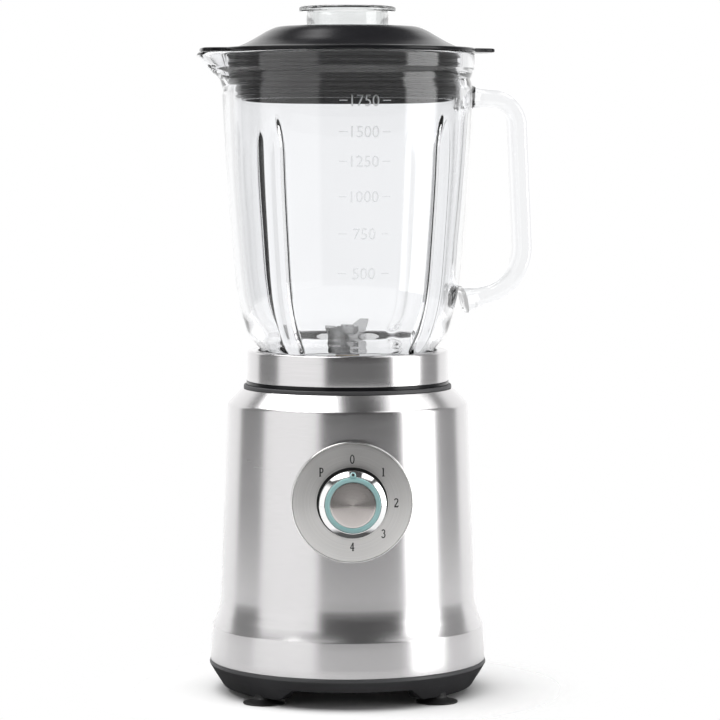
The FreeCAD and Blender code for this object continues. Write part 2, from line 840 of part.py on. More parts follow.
def dial_plate():
    """Printed plate that carries the speed numbers."""
    body = new_body("dial_plate")
    outer = ("circle", 0, dial_height, s.dial_radius - s.dial_rim - s.fit_gap)
    bore = ("circle", 0, dial_height, s.spindle_radius + s.run_gap)
    pad(body, "XZ_Plane", [outer, bore], s.dial_wall, lift=plate_back)


def knob_ring():
    """Chromed knob body: a cup open towards the dial, with a recessed front."""
    body = new_body("knob_ring")
    inner = s.knob_radius - s.knob_wall
    front_wall = s.knob_front_radius - s.knob_wall
    turned_about_y(body, dial_height, front([
        (knob_back, inner),
        (knob_back, s.knob_radius),
        (knob_back + s.knob_skirt, s.knob_radius - s.knob_lip),
        (knob_front, s.knob_front_radius),
        (knob_front, s.knob_front_radius - s.knob_lip),
        (knob_web, s.knob_front_radius - s.knob_lip),
        (knob_web, s.spindle_radius),
        (knob_web - s.knob_wall, s.spindle_radius),
        (knob_web - s.knob_wall, front_wall),
    ]))


def knob_light_ring():
    """Coloured translucent ring in the knob's front."""
    body = new_body("knob_light_ring")
    outer = ("circle", 0, dial_height, s.knob_front_radius - s.knob_lip)
    inner = ("circle", 0, dial_height, s.knob_disc_radius)
    pad(body, "XZ_Plane", [outer, inner], s.knob_recess, lift=knob_web)


def knob_cap():
    """Spun metal disc in the middle of the knob."""
    body = new_body("knob_cap")
    outer = ("circle", 0, dial_height, s.knob_disc_radius)
    pad(body, "XZ_Plane", [outer], s.knob_recess, lift=knob_web)


def switch_spindle():
    """Spindle from the knob into the rotary switch."""
    body = new_body("switch_spindle")
    circle = ("circle", 0, dial_height, s.spindle_radius)
    inner = switch_front - s.switch_depth + s.spindle_end
    pad(body, "XZ_Plane", [circle], knob_web - inner, lift=inner)


def rotary_switch():
    """Speed and pulse switch, screwed to the dial's boss inside the housing."""
    body = new_body("rotary_switch")
    half = s.switch_width / 2
    block = rect(-half, half, dial_height - half, dial_height + half)
    bore = ("circle", 0, dial_height, s.spindle_radius + s.run_gap)
    pad(body, "XZ_Plane", [block, bore], s.switch_depth, lift=switch_front - s.switch_depth)


def control_board():
    """Circuit board on four stands on the bottom cover."""
    body = new_body("control_board")
    half = s.board_width / 2
    near = s.board_place - s.board_depth / 2
    low = cover_floor + s.board_stand
    plate = rect(-half, half, -near - s.board_depth, -near)
    pad(body, "XY_Plane", [plate], s.board_wall, lift=low)
    stand = s.board_stand
    for x in (-half + stand, half - stand):
        for y in (-near - s.board_depth + stand, -near - stand):
            pad(body, "XY_Plane", [("circle", x, y, stand / 2)], stand, lift=cover_floor)


def suppression_capacitor():
    """Block capacitor that damps the motor's interference."""
    body = new_body("suppression_capacitor")
    half = s.board_width / 4
    near = s.board_place - s.board_depth / 3
    low = cover_floor + s.board_stand + s.board_wall
    block = rect(-half, half / 3, -near - s.board_depth / 2, -near)
    pad(body, "XY_Plane", [block], s.board_depth / 2, lift=low)


# ---- motor ----


def motor_stator():
    """Laminated yoke with two poles, left and right."""
    body = new_body("motor_stator")
    bore = s.armature_radius + s.air_gap
    high = stack_top
    revolve(body, ring(yoke_inner, s.stack_radius, stack_bottom, high))
    half = s.pole_width / 2
    pole = rect(bore + s.overlap, yoke_inner + s.overlap, -half, half)
    poles = pad(body, "XY_Plane", [pole], stack_height, lift=stack_bottom)
    repeat(body, [poles], 2)
    shoe = ring(bore, bore + s.pole_shoe, stack_bottom, high)
    for side in (0, 180):
        sector(body, shoe, angle=s.pole_span, about=side)
    holes = spots(bolt_spread, s.bolt_radius + s.fit_gap, (0, 180))
    pad(body, "XY_Plane", holes, stack_height, cut=True, lift=high)


def field_coil(name, side):
    """Copper winding round one pole."""
    body = new_body(name)
    near = s.armature_radius + s.air_gap + s.pole_shoe + s.fit_gap
    half = s.pole_width / 2 + s.fit_gap
    wide = half + s.coil_wall
    low = stack_bottom - s.fit_gap
    high = stack_top + s.fit_gap
    outline = rect(-wide, wide, low - s.coil_overhang, high + s.coil_overhang)
    window = rect(-half, half, low, high)
    pad(body, "YZ_Plane", [outline, window], s.coil_wall, lift=near)
    turn(body, side)


def upper_bracket():
    """Plate above the motor, with the upper bearing's cup and two posts down to the stator."""
    body = new_body("upper_bracket")
    low = upper_bracket_bottom
    plate = s.bracket_wall
    seat = s.bearing_radius + s.shaft_gap / 2
    cup = seat + s.cup_wall
    cup_low = upper_bearing_top - s.bearing_height
    revolve(body, [
        (s.shaft_radius + s.run_gap, upper_bearing_top),
        (seat, upper_bearing_top),
        (seat, cup_low),
        (cup, cup_low),
        (cup, low),
        (s.bracket_radius, low),
        (s.bracket_radius, low + plate),
        (cup, low + plate),
        (cup, upper_bearing_top + s.cup_lip),
        (s.shaft_radius + s.run_gap, upper_bearing_top + s.cup_lip),
    ])
    studs(body, spots(bolt_spread, s.post_radius, (0, 180)), stack_top, low)
    bolt_holes = spots(bolt_spread, s.bolt_radius + s.fit_gap, (0, 180))
    pad(body, "XY_Plane", bolt_holes, low + plate - stack_top, cut=True, lift=low + plate)
    mount_holes = spots(s.mount_spread, s.bolt_radius + s.fit_gap, DIAGONALS)
    pad(body, "XY_Plane", mount_holes, plate, cut=True, lift=low + plate)
    near = cup + s.window_margin
    far = s.bracket_radius - s.window_margin
    window = rect(near, far, -s.bracket_width / 2, s.bracket_width / 2)
    opening = pad(body, "XY_Plane", [window], plate, cut=True, lift=low + plate, turn=90)
    repeat(body, [opening], 2)


def lower_bracket():
    """Cross below the motor, with the lower bearing's cup, two posts and two brush pads."""
    body = new_body("lower_bracket")
    low = lower_bracket_bottom
    bearing_low = lower_bearing_bottom
    seat = s.bearing_radius + s.shaft_gap / 2
    cup = seat + s.cup_wall
    revolve(body, [
        (0, low - s.cup_floor * 2),
        (cup, low - s.cup_floor * 2),
        (cup, bearing_low + s.bearing_height),
        (seat, bearing_low + s.bearing_height),
        (seat, bearing_low),
        (s.shaft_radius + s.run_gap, bearing_low),
        (s.shaft_radius + s.run_gap, low - s.cup_floor),
        (0, low - s.cup_floor),
    ])
    half = s.bracket_width / 2
    arm = s.bracket_arm
    bar = rect(cup - s.overlap, s.stack_radius, -half, half)
    arms = pad(body, "XY_Plane", [bar], arm, lift=low)
    repeat(body, [arms], 2)
    side_bar = rect(cup - s.overlap, holder_end, -half, half)
    side_arms = pad(body, "XY_Plane", [side_bar], arm, lift=low, turn=90)
    repeat(body, [side_arms], 2)
    pad_block = rect(holder_end - s.bracket_width, holder_end, -half, half)
    pads = pad(body, "XY_Plane", [pad_block], holder_bottom - low, lift=low, turn=90)
    repeat(body, [pads], 2)
    studs(body, spots(bolt_spread, s.post_radius, (0, 180)), low, stack_bottom)
    holes = spots(bolt_spread, s.bolt_radius + s.fit_gap, (0, 180))
    pad(body, "XY_Plane", holes, stack_bottom - low, cut=True, lift=stack_bottom)


def motor_bolts():
    """Two long bolts through both brackets and the stator."""
    body = new_body("motor_bolts")
    low = lower_bracket_bottom - s.fit_gap
    high = upper_bracket_bottom + s.bracket_wall + s.fit_gap
    studs(body, spots(bolt_spread, s.bolt_radius, (0, 180)), low, high)
    heads = spots(bolt_spread, s.screw_head, (0, 180))
    studs(body, heads, low - s.screw_head_height, low)
    studs(body, heads, high, high + s.screw_head_height)


def motor_mounts():
    """Four rubber rings between the upper bracket and the seat plate."""
    body = new_body("motor_mounts")
    for outer in spots(s.mount_spread, s.mount_radius, DIAGONALS):
        inner = (*outer[:3], s.bolt_radius + s.fit_gap)
        pad(body, "XY_Plane", [outer, inner], s.mount_height, lift=mount_bottom)


def mount_screws():
    """Four screws, from below through the mounts into the seat plate."""
    body = new_body("mount_screws")
    low = upper_bracket_bottom
    high = seat_under - s.screw_end
    shank = s.bolt_radius - s.fit_gap / 2
    studs(body, spots(s.mount_spread, shank, DIAGONALS), low, high)
    heads = spots(s.mount_spread, s.screw_head, DIAGONALS)
    studs(body, heads, low - s.screw_head_height, low)


def bearing(name, low):
    """Ball bearing, drawn as one ring with a groove between its races on each face."""
    body = new_body(name)
    inner = s.shaft_radius + s.shaft_gap
    outer = s.bearing_radius
    middle = (inner + outer) / 2
    near = middle - s.race_gap / 2
    far = middle + s.race_gap / 2
    high = low + s.bearing_height
    groove = low + s.race_depth
    upper_groove = high - s.race_depth
    revolve(body, [
        (inner, low), (near, low), (near, groove), (far, groove), (far, low), (outer, low),
        (outer, high), (far, high), (far, upper_groove), (near, upper_groove), (near, high), (inner, high),
    ])


def brush_holder(name, side):
    """Moulded guide for one carbon brush."""
    body = new_body(name)
    slot = s.brush_width / 2
    half = slot + s.holder_wall
    outline = rect(-half, half, brush_height - half, brush_height + half)
    window = rect(-slot, slot, brush_height - slot, brush_height + slot)
    pad(body, "XZ_Plane", [outline, window], s.holder_length, lift=holder_end - s.holder_length)
    turn(body, side)


def carbon_brush(name, side):
    """Carbon block that rubs on the commutator."""
    body = new_body(name)
    half = s.brush_width / 2 - s.shaft_gap
    block = rect(-half, half, brush_height - half, brush_height + half)
    pad(body, "XZ_Plane", [block], s.brush_length, lift=s.commutator_radius + s.fit_gap)
    turn(body, side)


def brush_spring(name, side):
    """Spring behind one brush, drawn as a tube of its own outer size."""
    body = new_body(name)
    outer = ("circle", 0, brush_height, s.brush_width * 0.4)
    inner = ("circle", 0, brush_height, s.brush_width * 0.3)
    near = s.commutator_radius + s.fit_gap + s.brush_length
    pad(body, "XZ_Plane", [outer, inner], holder_end - near, lift=near)
    turn(body, side)


def motor_shaft():
    body = new_body("motor_shaft")
    revolve(body, ring(0, s.shaft_radius, lower_bearing_bottom, disc_top))


def armature_core():
    """Slotted steel laminations on the shaft."""
    body = new_body("armature_core")
    revolve(body, ring(s.shaft_radius, s.armature_radius, stack_bottom, stack_top))
    half = s.slot_width / 2
    slot = rect(s.slot_bottom, s.armature_radius + s.overlap, -half, half)
    first = pad(body, "XY_Plane", [slot], stack_height, cut=True, lift=stack_top)
    repeat(body, [first], s.armature_slots)


def armature_winding():
    """Copper in the core's slots, with a rounded bundle at each end."""
    body = new_body("armature_winding")
    reach = s.armature_radius - s.winding_inset
    over = s.winding_overhang
    half = s.slot_width / 2 - s.fit_gap
    bar = rect(s.slot_bottom + s.fit_gap, reach, -half, half)
    revolve(body, ring(s.shaft_radius, reach, stack_bottom - over, stack_bottom))
    first = pad(body, "XY_Plane", [bar], stack_height, lift=stack_bottom)
    repeat(body, [first], s.armature_slots)
    revolve(body, ring(s.shaft_radius, reach, stack_top, stack_top + over))


def commutator():
    """Ring of copper bars that the brushes rub on."""
    body = new_body("commutator")
    revolve(body, ring(s.shaft_radius, s.commutator_radius, commutator_bottom, commutator_top))
    radius = s.commutator_radius
    half = s.bar_gap / 2
    mark = rect(radius - s.bar_gap_depth, radius + s.overlap, -half, half)
    first = pad(body, "XY_Plane", [mark], s.commutator_height, cut=True, lift=commutator_top)
    repeat(body, [first], s.armature_slots * 2)


def cooling_fan():
    """Fan above the armature: a hub, a disc and flat blades."""
    body = new_body("cooling_fan")
    low = stack_top + s.winding_overhang + s.fan_gap
    high = low + s.fan_height
    disc = low + s.fan_disc
    revolve(body, [
        (s.shaft_radius, low), (s.fan_radius, low), (s.fan_radius, disc),
        (s.fan_hub, disc), (s.fan_hub, high), (s.shaft_radius, high),
    ])
    blade = rect(s.fan_hub - s.overlap, s.fan_radius, -s.fan_blade / 2, s.fan_blade / 2)
    first = pad(body, "XY_Plane", [blade], high - disc, lift=disc)
    repeat(body, [first], s.fan_blades)


def dog_outline():
    return rect(s.dog_inner, s.dog_outer, -s.dog_width / 2, s.dog_width / 2)


def motor_coupling():
    """Toothed disc on the motor's shaft."""
    body = new_body("motor_coupling")
    revolve(body, ring(s.shaft_radius, s.coupling_radius, disc_bottom, disc_top))
    first = pad(body, "XY_Plane", [dog_outline()], s.dog_height, lift=disc_top)
    repeat(body, [first], s.dog_count)


# ---- collar and blade unit ----


def jar_coupling():
    """Toothed disc on the blades' shaft, which drops between the motor coupling's teeth."""
    body = new_body("jar_coupling")
    radius = s.blade_shaft_radius
    revolve(body, ring(radius, s.coupling_radius, jar_disc_bottom, jar_disc_top))
    tooth_low = jar_disc_bottom - s.dog_height
    half_step = 180 / s.dog_count
    first = pad(body, "XY_Plane", [dog_outline()], s.dog_height, lift=tooth_low, turn=half_step)
    repeat(body, [first], s.dog_count)


def jar_collar():
    """Brushed steel sleeve round the nut."""
    body = new_body("jar_collar")
    edge = s.collar_edge
    wall = s.collar_wall
    outer = collar_radius
    revolve(body, [
        (outer, collar_bottom),
        (outer, collar_top - edge),
        (outer - edge, collar_top, edge),
        (s.collar_mouth, collar_top),
        (s.collar_mouth, collar_top - wall),
        (outer - edge, collar_top - wall),
        (outer - wall, collar_top - edge),
        (outer - wall, collar_bottom),
    ])
    turn(body, s.jar_turn)


def collar_nut():
    """Threaded ring that holds the blade unit against the jug, with four slots for the lugs."""
    body = new_body("collar_nut")
    outer = collar_radius - s.collar_wall - s.fit_gap
    skirt = s.seat_well - s.run_gap - s.fit_gap
    bore = s.neck_outer + s.run_gap
    top = collar_top - s.collar_wall - s.fit_gap
    shelf_low = seat_shelf - s.seat_wall
    revolve(body, [
        (rim_radius, rim_bottom),
        (rim_radius, collar_bottom),
        (outer, collar_bottom),
        (outer, top - s.collar_edge),
        (outer - s.collar_edge, top),
        (bore, top),
        (bore, seat_shelf),
        (s.nut_hole, seat_shelf),
        (s.nut_hole, shelf_low),
        (skirt - s.nut_skirt_wall, shelf_low),
        (skirt - s.nut_skirt_wall, nut_bottom),
        (skirt, nut_bottom),
        (skirt, rim_bottom),
    ])
    half = s.lug_width / 2 + s.lug_clear
    notch = rect(skirt - s.nut_skirt_wall - s.overlap, s.seat_well, -half, half)
    depth = seat_floor + s.lug_height + s.lug_clear - nut_bottom
    first = pad(body, "XY_Plane", [notch], depth, cut=True, lift=nut_bottom + depth)
    repeat(body, [first], 4)
    turn(body, s.jar_turn)


def jar_gasket():
    """Rubber ring between the jug's foot and the blade seat."""
    body = new_body("jar_gasket")
    revolve(body, ring(s.neck_inner + s.fit_gap, s.neck_outer - s.fit_gap, blade_seat_top, jug_bottom))


def blade_seat():
    """Domed floor of the jug, with the hub that carries the blades' bush."""
    body = new_body("blade_seat")
    dome = s.neck_inner - s.run_gap
    wall = s.blade_seat_height
    dome_top = blade_seat_top + s.blade_seat_dome
    crown = dome_top + s.dome_crown
    hub_top = bush_top - s.hub_drop
    revolve(body, [
        (s.bush_radius, bush_bottom),
        (s.hub_radius, bush_bottom),
        (s.hub_radius, crown - wall),
        (dome - wall, dome_top - wall),
        (dome - wall, seat_shelf),
        (s.neck_outer - s.fit_gap, seat_shelf),
        (s.neck_outer - s.fit_gap, blade_seat_top),
        (dome, blade_seat_top),
        (dome - s.dome_edge, dome_top),
        (s.hub_radius + s.hub_flare, crown),
        (s.hub_radius, hub_top),
        (s.bush_radius, hub_top),
    ])


def blade_bush():
    """Bronze bush that the blades' shaft turns in."""
    body = new_body("blade_bush")
    revolve(body, ring(s.blade_shaft_radius + s.shaft_gap, s.bush_radius, bush_bottom, bush_top))


def blade_shaft():
    body = new_body("blade_shaft")
    top = blade_nut_bottom + s.blade_nut_height + s.shaft_end
    revolve(body, ring(0, s.blade_shaft_radius, jar_disc_bottom, top))


def blade_washer():
    """Washer between the bush and the blades."""
    body = new_body("blade_washer")
    radius = s.blade_shaft_radius
    revolve(body, ring(radius, s.bush_radius, bush_top + s.run_gap, blade_bottom))


def retaining_ring():
    """Spring ring on the shaft under the bush."""
    body = new_body("retaining_ring")
    radius = s.blade_shaft_radius
    revolve(body, ring(radius, radius + s.ring_wall, jar_disc_top, bush_bottom - s.run_gap))


def blade(name, low, rise, side):
    """Steel blade with two bent wings. A wing's tip is rise above its root."""
    body = new_body(name)
    root = s.blade_root
    reach = s.blade_reach
    wall = s.blade_wall
    half = s.blade_width / 2
    pad(body, "XZ_Plane", [[
        (-reach, low + rise), (-root, low), (root, low), (reach, low + rise),
        (reach, low + rise + wall), (root, low + wall), (-root, low + wall),
        (-reach, low + rise + wall),
    ]], s.blade_width, both=True)
    tip = half - s.blade_taper
    far = reach + s.overlap
    side_cut = half + s.overlap
    cut_low = low - s.blade_lift - s.overlap
    cut_high = low + s.blade_lift + wall + s.overlap
    for x, y in ((1, 1), (1, -1), (-1, 1), (-1, -1)):
        corner = [(x * root, y * side_cut), (x * root, y * half), (x * far, y * tip),
                  (x * far, y * side_cut)]
        if x * y > 0:
            corner.reverse()
        pad(body, "XY_Plane", [corner], cut_high - cut_low, cut=True, lift=cut_high)
    bore = ("circle", 0, 0, s.blade_shaft_radius)
    pad(body, "XY_Plane", [bore], cut_high - cut_low, cut=True, lift=cut_high)
    turn(body, side)


def blade_nut():
    """Hexagon nut on top of the blades."""
    body = new_body("blade_nut")
    corners = [(cos(a) * s.blade_nut_radius, sin(a) * s.blade_nut_radius) for a in range(0, 360, 60)]
    bore = ("circle", 0, 0, s.blade_shaft_radius)
    pad(body, "XY_Plane", [corners, bore], s.blade_nut_height, lift=blade_nut_bottom)


# ---- glass jug, lid and measuring cap ----


def jug_glass():
    """Pressed glass jug in one piece: walls, pouring lip, handle and four inner ribs."""
    body = new_body("jug_glass")
    low = jug_bottom
    high = jug_top
    foot = low + s.jug_foot_height
    belly = low + s.jug_belly_height
    middle = low + s.jug_middle_height
    bead = high - s.jug_bead_height
    round_off = s.jug_rim_round
    revolve(body, [
        (0, low),
        (s.neck_outer, low),
        (s.neck_outer, low + s.jug_neck_height),
        (s.jug_foot_radius, foot),
        (s.jug_belly_radius, belly, -s.jug_belly_curve),
        (s.jug_middle_radius, middle, -s.jug_middle_curve),
        (s.jug_top_radius, high - s.jug_top_drop),
        (s.jug_neck_radius, high - s.jug_neck_drop),
        (s.jug_bead_radius, bead + s.jug_bead_slope),
        (s.jug_bead_radius, high - round_off),
        (s.jug_bead_radius - round_off, high, round_off),
        (0, high),
    ])
    middle_reach = s.jug_neck_radius + (s.spout_reach - s.jug_neck_radius) * 0.37
    spout_parts = [
        round_section(body, high - s.spout_drop, s.jug_neck_radius + s.jug_bore_taper, s.spout_radius * 0.45),
        round_section(body, high - s.spout_drop * 0.55, middle_reach, s.spout_radius * 0.65),
        round_section(body, high - s.spout_lip, s.spout_reach, s.spout_radius),
        round_section(body, high, s.spout_reach, s.spout_radius),
    ]
    loft(body, spout_parts)
    handle(body)
    wall = s.jug_wall
    revolve(body, [
        (0, low),
        (s.neck_inner, low),
        (s.neck_inner, low + s.jug_neck_height),
        (s.jug_foot_radius - wall * 1.2, foot + wall * 0.2),
        (s.jug_belly_radius - wall, belly, -s.jug_belly_curve),
        (s.jug_middle_radius - wall, middle, -s.jug_middle_curve),
        (s.jug_bore - s.jug_bore_taper, high - s.jug_bore_depth),
        (s.jug_bore, high),
        (0, high),
    ], cut=True)
    inner_reach = s.spout_reach - s.spout_wall
    inner_radius = s.spout_radius - s.spout_wall
    channel = [
        round_section(body, high - s.spout_drop + wall, s.jug_neck_radius - wall * 0.6, inner_radius * 0.4),
        round_section(body, high - s.spout_lip, inner_reach - wall * 0.4, inner_radius),
        round_section(body, high, inner_reach, inner_radius),
    ]
    loft(body, channel, cut=True)
    rib_low = low + s.flute_bottom
    rib_high = high - s.flute_drop
    low_reach = s.jug_foot_radius - wall + s.flute_stand
    high_reach = s.jug_top_radius - wall * 1.2
    diagonal = 45
    ends = [
        draw(body, "XY_Plane", [("circle", cos(diagonal) * r, sin(diagonal) * r, s.flute_radius)], lift=z)
        for r, z in ((low_reach, rib_low), (high_reach, rib_high))
    ]
    rib = loft(body, ends)
    repeat(body, [rib], s.flute_count)
    turn(body, s.jar_turn)


def round_section(body, height, reach, radius):
    """Circle of the spout whose farthest point is at reach."""
    return draw(body, "XY_Plane", [("circle", radius - reach, 0, radius)], lift=height)


def handle(body):
    """Handle: a rounded bar along a path that leaves the wall level and comes back level."""
    top = jug_top - s.handle_top
    bottom = jug_bottom + s.handle_bottom
    reach = s.handle_reach
    bend = s.handle_bend
    low_bend = s.handle_low_bend
    start = s.jug_belly_radius
    end = s.jug_belly_radius - s.jug_wall * 0.6
    path = body.newObject("Sketcher::SketchObject", "path")
    path.AttachmentSupport = [(plane_of(body, "XZ_Plane"), "")]
    path.MapMode = "FlatFace"
    draw_path(path, [
        (start, top), (reach - bend, top), (reach, top - bend, -bend),
        (reach, bottom + low_bend), (reach - low_bend, bottom, -low_bend), (end, bottom),
    ])
    across = s.handle_width / 2
    up = s.handle_thick / 2
    r = s.handle_round
    section = draw(body, "YZ_Plane", [[
        (-across, top - up + r), (-across + r, top - up, r), (across - r, top - up),
        (across, top - up + r, r), (across, top + up - r), (across - r, top + up, r),
        (-across + r, top + up), (-across, top + up - r, r),
    ]], lift=start)
    pipe = body.newObject("PartDesign::AdditivePipe", "bar")
    pipe.Profile = section
    pipe.Spine = path


def lid():
    """Lid: a low dome, a plug that goes into the jug, and two finger tabs."""
    body = new_body("lid")
    low = lid_bottom
    edge = lid_edge_top
    wall = s.lid_wall
    slope_top = edge + s.lid_slope_rise
    crown = edge + s.lid_crown_rise
    mouth = s.cap_radius + s.run_gap
    plug_low = low - s.plug_depth
    tube_low = cap_bottom + s.tube_drop
    tab = s.tab_width / 2
    revolve(body, [
        (mouth, lid_top),
        (s.lid_top_radius, lid_top),
        (s.lid_crown_radius, crown, -s.lid_crown_radius / 2),
        (s.lid_slope_radius, slope_top),
        (s.lid_foot_radius, edge),
        (s.lid_radius, edge),
        (s.lid_radius, low),
        (s.plug_radius, low),
        (s.plug_radius, plug_low),
        (s.plug_radius - wall, plug_low),
        (s.plug_radius - wall, edge - s.lid_edge / 2),
        (s.lid_slope_radius - wall, slope_top - wall),
        (s.lid_crown_radius - wall, crown - wall),
        (s.lid_top_radius - wall, lid_top - wall),
        (mouth + wall, lid_top - wall),
        (mouth + wall, tube_low),
        (mouth, tube_low),
    ])
    tabs = rect(s.lid_foot_radius + s.lid_edge, s.tab_reach, -tab, tab)
    first = pad(body, "XY_Plane", [tabs], s.lid_edge, lift=low)
    repeat(body, [first], 2)
    turn(body, s.jar_turn)


def lid_gasket():
    """Rubber sleeve on the lid's plug, with fine lips that press on the glass."""
    body = new_body("lid_gasket")
    inner = s.plug_radius
    outer = inner + s.gasket_wall
    high = lid_bottom - s.gasket_top
    low = lid_bottom - s.plug_depth + s.gasket_end
    pitch = (high - low) / s.lip_count
    count = round(SHEET["lip_count"])
    corners = [(inner, high), (inner, low)]
    for i in range(count):
        corners.append((outer, low + pitch * i))
        corners.append((outer + s.lip_reach, low + pitch * (i + 0.55)))
        corners.append((outer + s.lip_reach, low + pitch * (i + 0.75)))
        corners.append((outer, low + pitch * (i + 0.8)))
    corners.append((outer, high))
    revolve(body, corners)


def measuring_cap():
    """Clear cup that plugs the lid's opening, closed at the bottom, with a wide rim on top."""
    body = new_body("measuring_cap")
    rim_low = cap_top - s.cap_rim_height
    wall = s.cap_wall
    revolve(body, [
        (0, cap_bottom),
        (s.cap_plug_radius, cap_bottom),
        (s.cap_plug_radius + s.cap_round / 2, lid_top),
        (s.cap_radius + s.cap_flare, lid_top + s.run_gap),
        (s.cap_radius, rim_low - s.cap_round),
        (s.cap_radius + s.cap_flare, rim_low),
        (s.cap_rim_radius, rim_low),
        (s.cap_rim_radius, cap_top - s.cap_round),
        (s.cap_rim_radius - s.cap_round, cap_top, s.cap_round),
        (s.cap_plug_radius - wall + s.cap_round, cap_top),
        (s.cap_plug_radius - wall, cap_bottom + s.cap_floor),
        (0, cap_bottom + s.cap_floor),
    ])


# ---- the whole blender ----

base_housing()
bottom_cover()
for foot_name, (foot_x, foot_y) in zip(
    ("foot_front_left", "foot_front_right", "foot_rear_right", "foot_rear_left"), foot_places()
):
    suction_foot(foot_name, foot_x, foot_y)
jar_seat()
shaft_seal()
tie_rods()
cover_screws()
cord_gland()
safety_plunger()
safety_switch()
dial_bezel()
dial_plate()
knob_ring()
knob_light_ring()
knob_cap()
switch_spindle()
rotary_switch()
control_board()
suppression_capacitor()
motor_stator()
field_coil("field_coil_right", 0)
field_coil("field_coil_left", 180)
upper_bracket()
lower_bracket()
motor_bolts()
motor_mounts()
mount_screws()
bearing("upper_bearing", upper_bearing_top - s.bearing_height)
bearing("lower_bearing", lower_bearing_bottom)
for word, half_turn in (("front", 0), ("rear", 180)):
    brush_holder(f"brush_holder_{word}", half_turn)
    carbon_brush(f"carbon_brush_{word}", half_turn)
    brush_spring(f"brush_spring_{word}", half_turn)
motor_shaft()
armature_core()
armature_winding()
commutator()
cooling_fan()
motor_coupling()
jar_coupling()
jar_collar()
collar_nut()
jar_gasket()
blade_seat()
blade_bush()
blade_shaft()
blade_washer()
retaining_ring()
blade("blade_upper", blade_bottom + blade_gap, s.blade_lift, 70)
blade("blade_lower", blade_bottom, -s.blade_dip, 0)
blade_nut()
jug_glass()
lid()
lid_gasket()
measuring_cap()

doc.recompute()
for made in doc.Objects:
    if "Invalid" in made.State or "Error" in made.State:
        raise SystemExit(f"{made.Label} ({made.Name}) did not build: {made.State}")
os.makedirs("parts", exist_ok=True)
for node in nodes:
    if node.Shape.isNull() or not node.Shape.isValid() or not node.Shape.Solids:
        raise SystemExit(f"{node.Label} has no sound solid")
    node.Shape.exportStep(f"parts/{node.Label}.step")
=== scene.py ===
"""Countertop blender: the looks of every piece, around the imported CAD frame.

Shapes are worked out in millimetres in the CAD's own frame and put into meshes in metres. An outline is a
list of corners (a, b) or (a, b, r), where r is the radius of a rounded corner. For a turned piece a is the
distance from the axis and b the height.
"""
import json
import math

import bmesh
import bpy
import numpy as np
from mathutils import Matrix, Vector


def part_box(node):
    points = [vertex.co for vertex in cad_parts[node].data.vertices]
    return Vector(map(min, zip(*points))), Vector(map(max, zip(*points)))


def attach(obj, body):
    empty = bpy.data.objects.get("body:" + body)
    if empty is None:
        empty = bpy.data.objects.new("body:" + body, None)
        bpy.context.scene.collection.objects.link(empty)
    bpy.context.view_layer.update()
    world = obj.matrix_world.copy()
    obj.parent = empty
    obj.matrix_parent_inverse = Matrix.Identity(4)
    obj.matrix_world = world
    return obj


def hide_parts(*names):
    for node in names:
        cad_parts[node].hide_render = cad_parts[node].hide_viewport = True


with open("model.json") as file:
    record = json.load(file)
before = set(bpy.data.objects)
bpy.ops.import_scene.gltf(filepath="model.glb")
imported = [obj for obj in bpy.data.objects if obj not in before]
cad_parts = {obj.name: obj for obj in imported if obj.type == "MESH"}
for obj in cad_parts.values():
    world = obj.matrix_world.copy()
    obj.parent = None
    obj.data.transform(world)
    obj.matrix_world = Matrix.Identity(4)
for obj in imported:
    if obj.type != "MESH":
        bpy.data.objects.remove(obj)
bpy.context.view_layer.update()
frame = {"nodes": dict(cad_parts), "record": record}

MM = 0.001
TURN = 2 * math.pi
JAR_TURN = math.radians(6.0)      # the jug stands turned a little on its base
MERGE = 2e-6                      # points closer than this, in metres, become one
THINNEST = 1e-7                   # edges shorter than this are dissolved
NODES = frame["nodes"]
SLOT_OF = {row["node"]: row["material_slot"] for row in frame["record"]["subparts"]}


def span(node):
    """Lowest and highest corner of a CAD node, in millimetres."""
    low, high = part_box(node)
    return np.array(low) / MM, np.array(high) / MM


# ---- outlines and grids ----


def rounded(corners, steps=6):
    """Outline through corners (a, b) or (a, b, r). A corner with r is replaced by an arc of radius r that
    touches both of its sides: its centre lies on the bisector at r / sin(half angle)."""
    out = []
    count = len(corners)
    for i, corner in enumerate(corners):
        here = np.array(corner[:2], float)
        if len(corner) < 3:
            out.append(here)
            continue
        before = np.array(corners[i - 1][:2], float) - here
        after = np.array(corners[(i + 1) % count][:2], float) - here
        before /= np.linalg.norm(before)
        after /= np.linalg.norm(after)
        half = math.acos(np.clip(before @ after, -1, 1)) / 2
        reach = corner[2] / math.tan(half)
        start, end = here + before * reach, here + after * reach
        bisector = before + after
        centre = here + bisector / np.linalg.norm(bisector) * corner[2] / math.sin(half)
        first, last = start - centre, end - centre
        sweep = math.atan2(first[0] * last[1] - first[1] * last[0], first @ last)
        turn = np.linspace(0, sweep, steps + 1)[:, None]
        side = np.array([-first[1], first[0]])
        out.extend(centre + np.cos(turn) * first + np.sin(turn) * side)
    return np.array(out)


def bow(start, end, radius, steps=12):
    """Arc from start to end that turns left for a positive radius, both ends left out."""
    start, end = np.array(start, float), np.array(end, float)
    chord = end - start
    length = np.linalg.norm(chord)
    left = np.array([-chord[1], chord[0]]) / length
    half = math.asin(length / 2 / abs(radius))
    side = math.copysign(1, radius)
    centre = (start + end) / 2 + left * side * abs(radius) * math.cos(half)
    first = start - centre
    turn = side * np.linspace(0, 2 * half, steps + 2)[1:-1, None]
    across = np.array([-first[1], first[0]])
    return centre + np.cos(turn) * first + np.sin(turn) * across


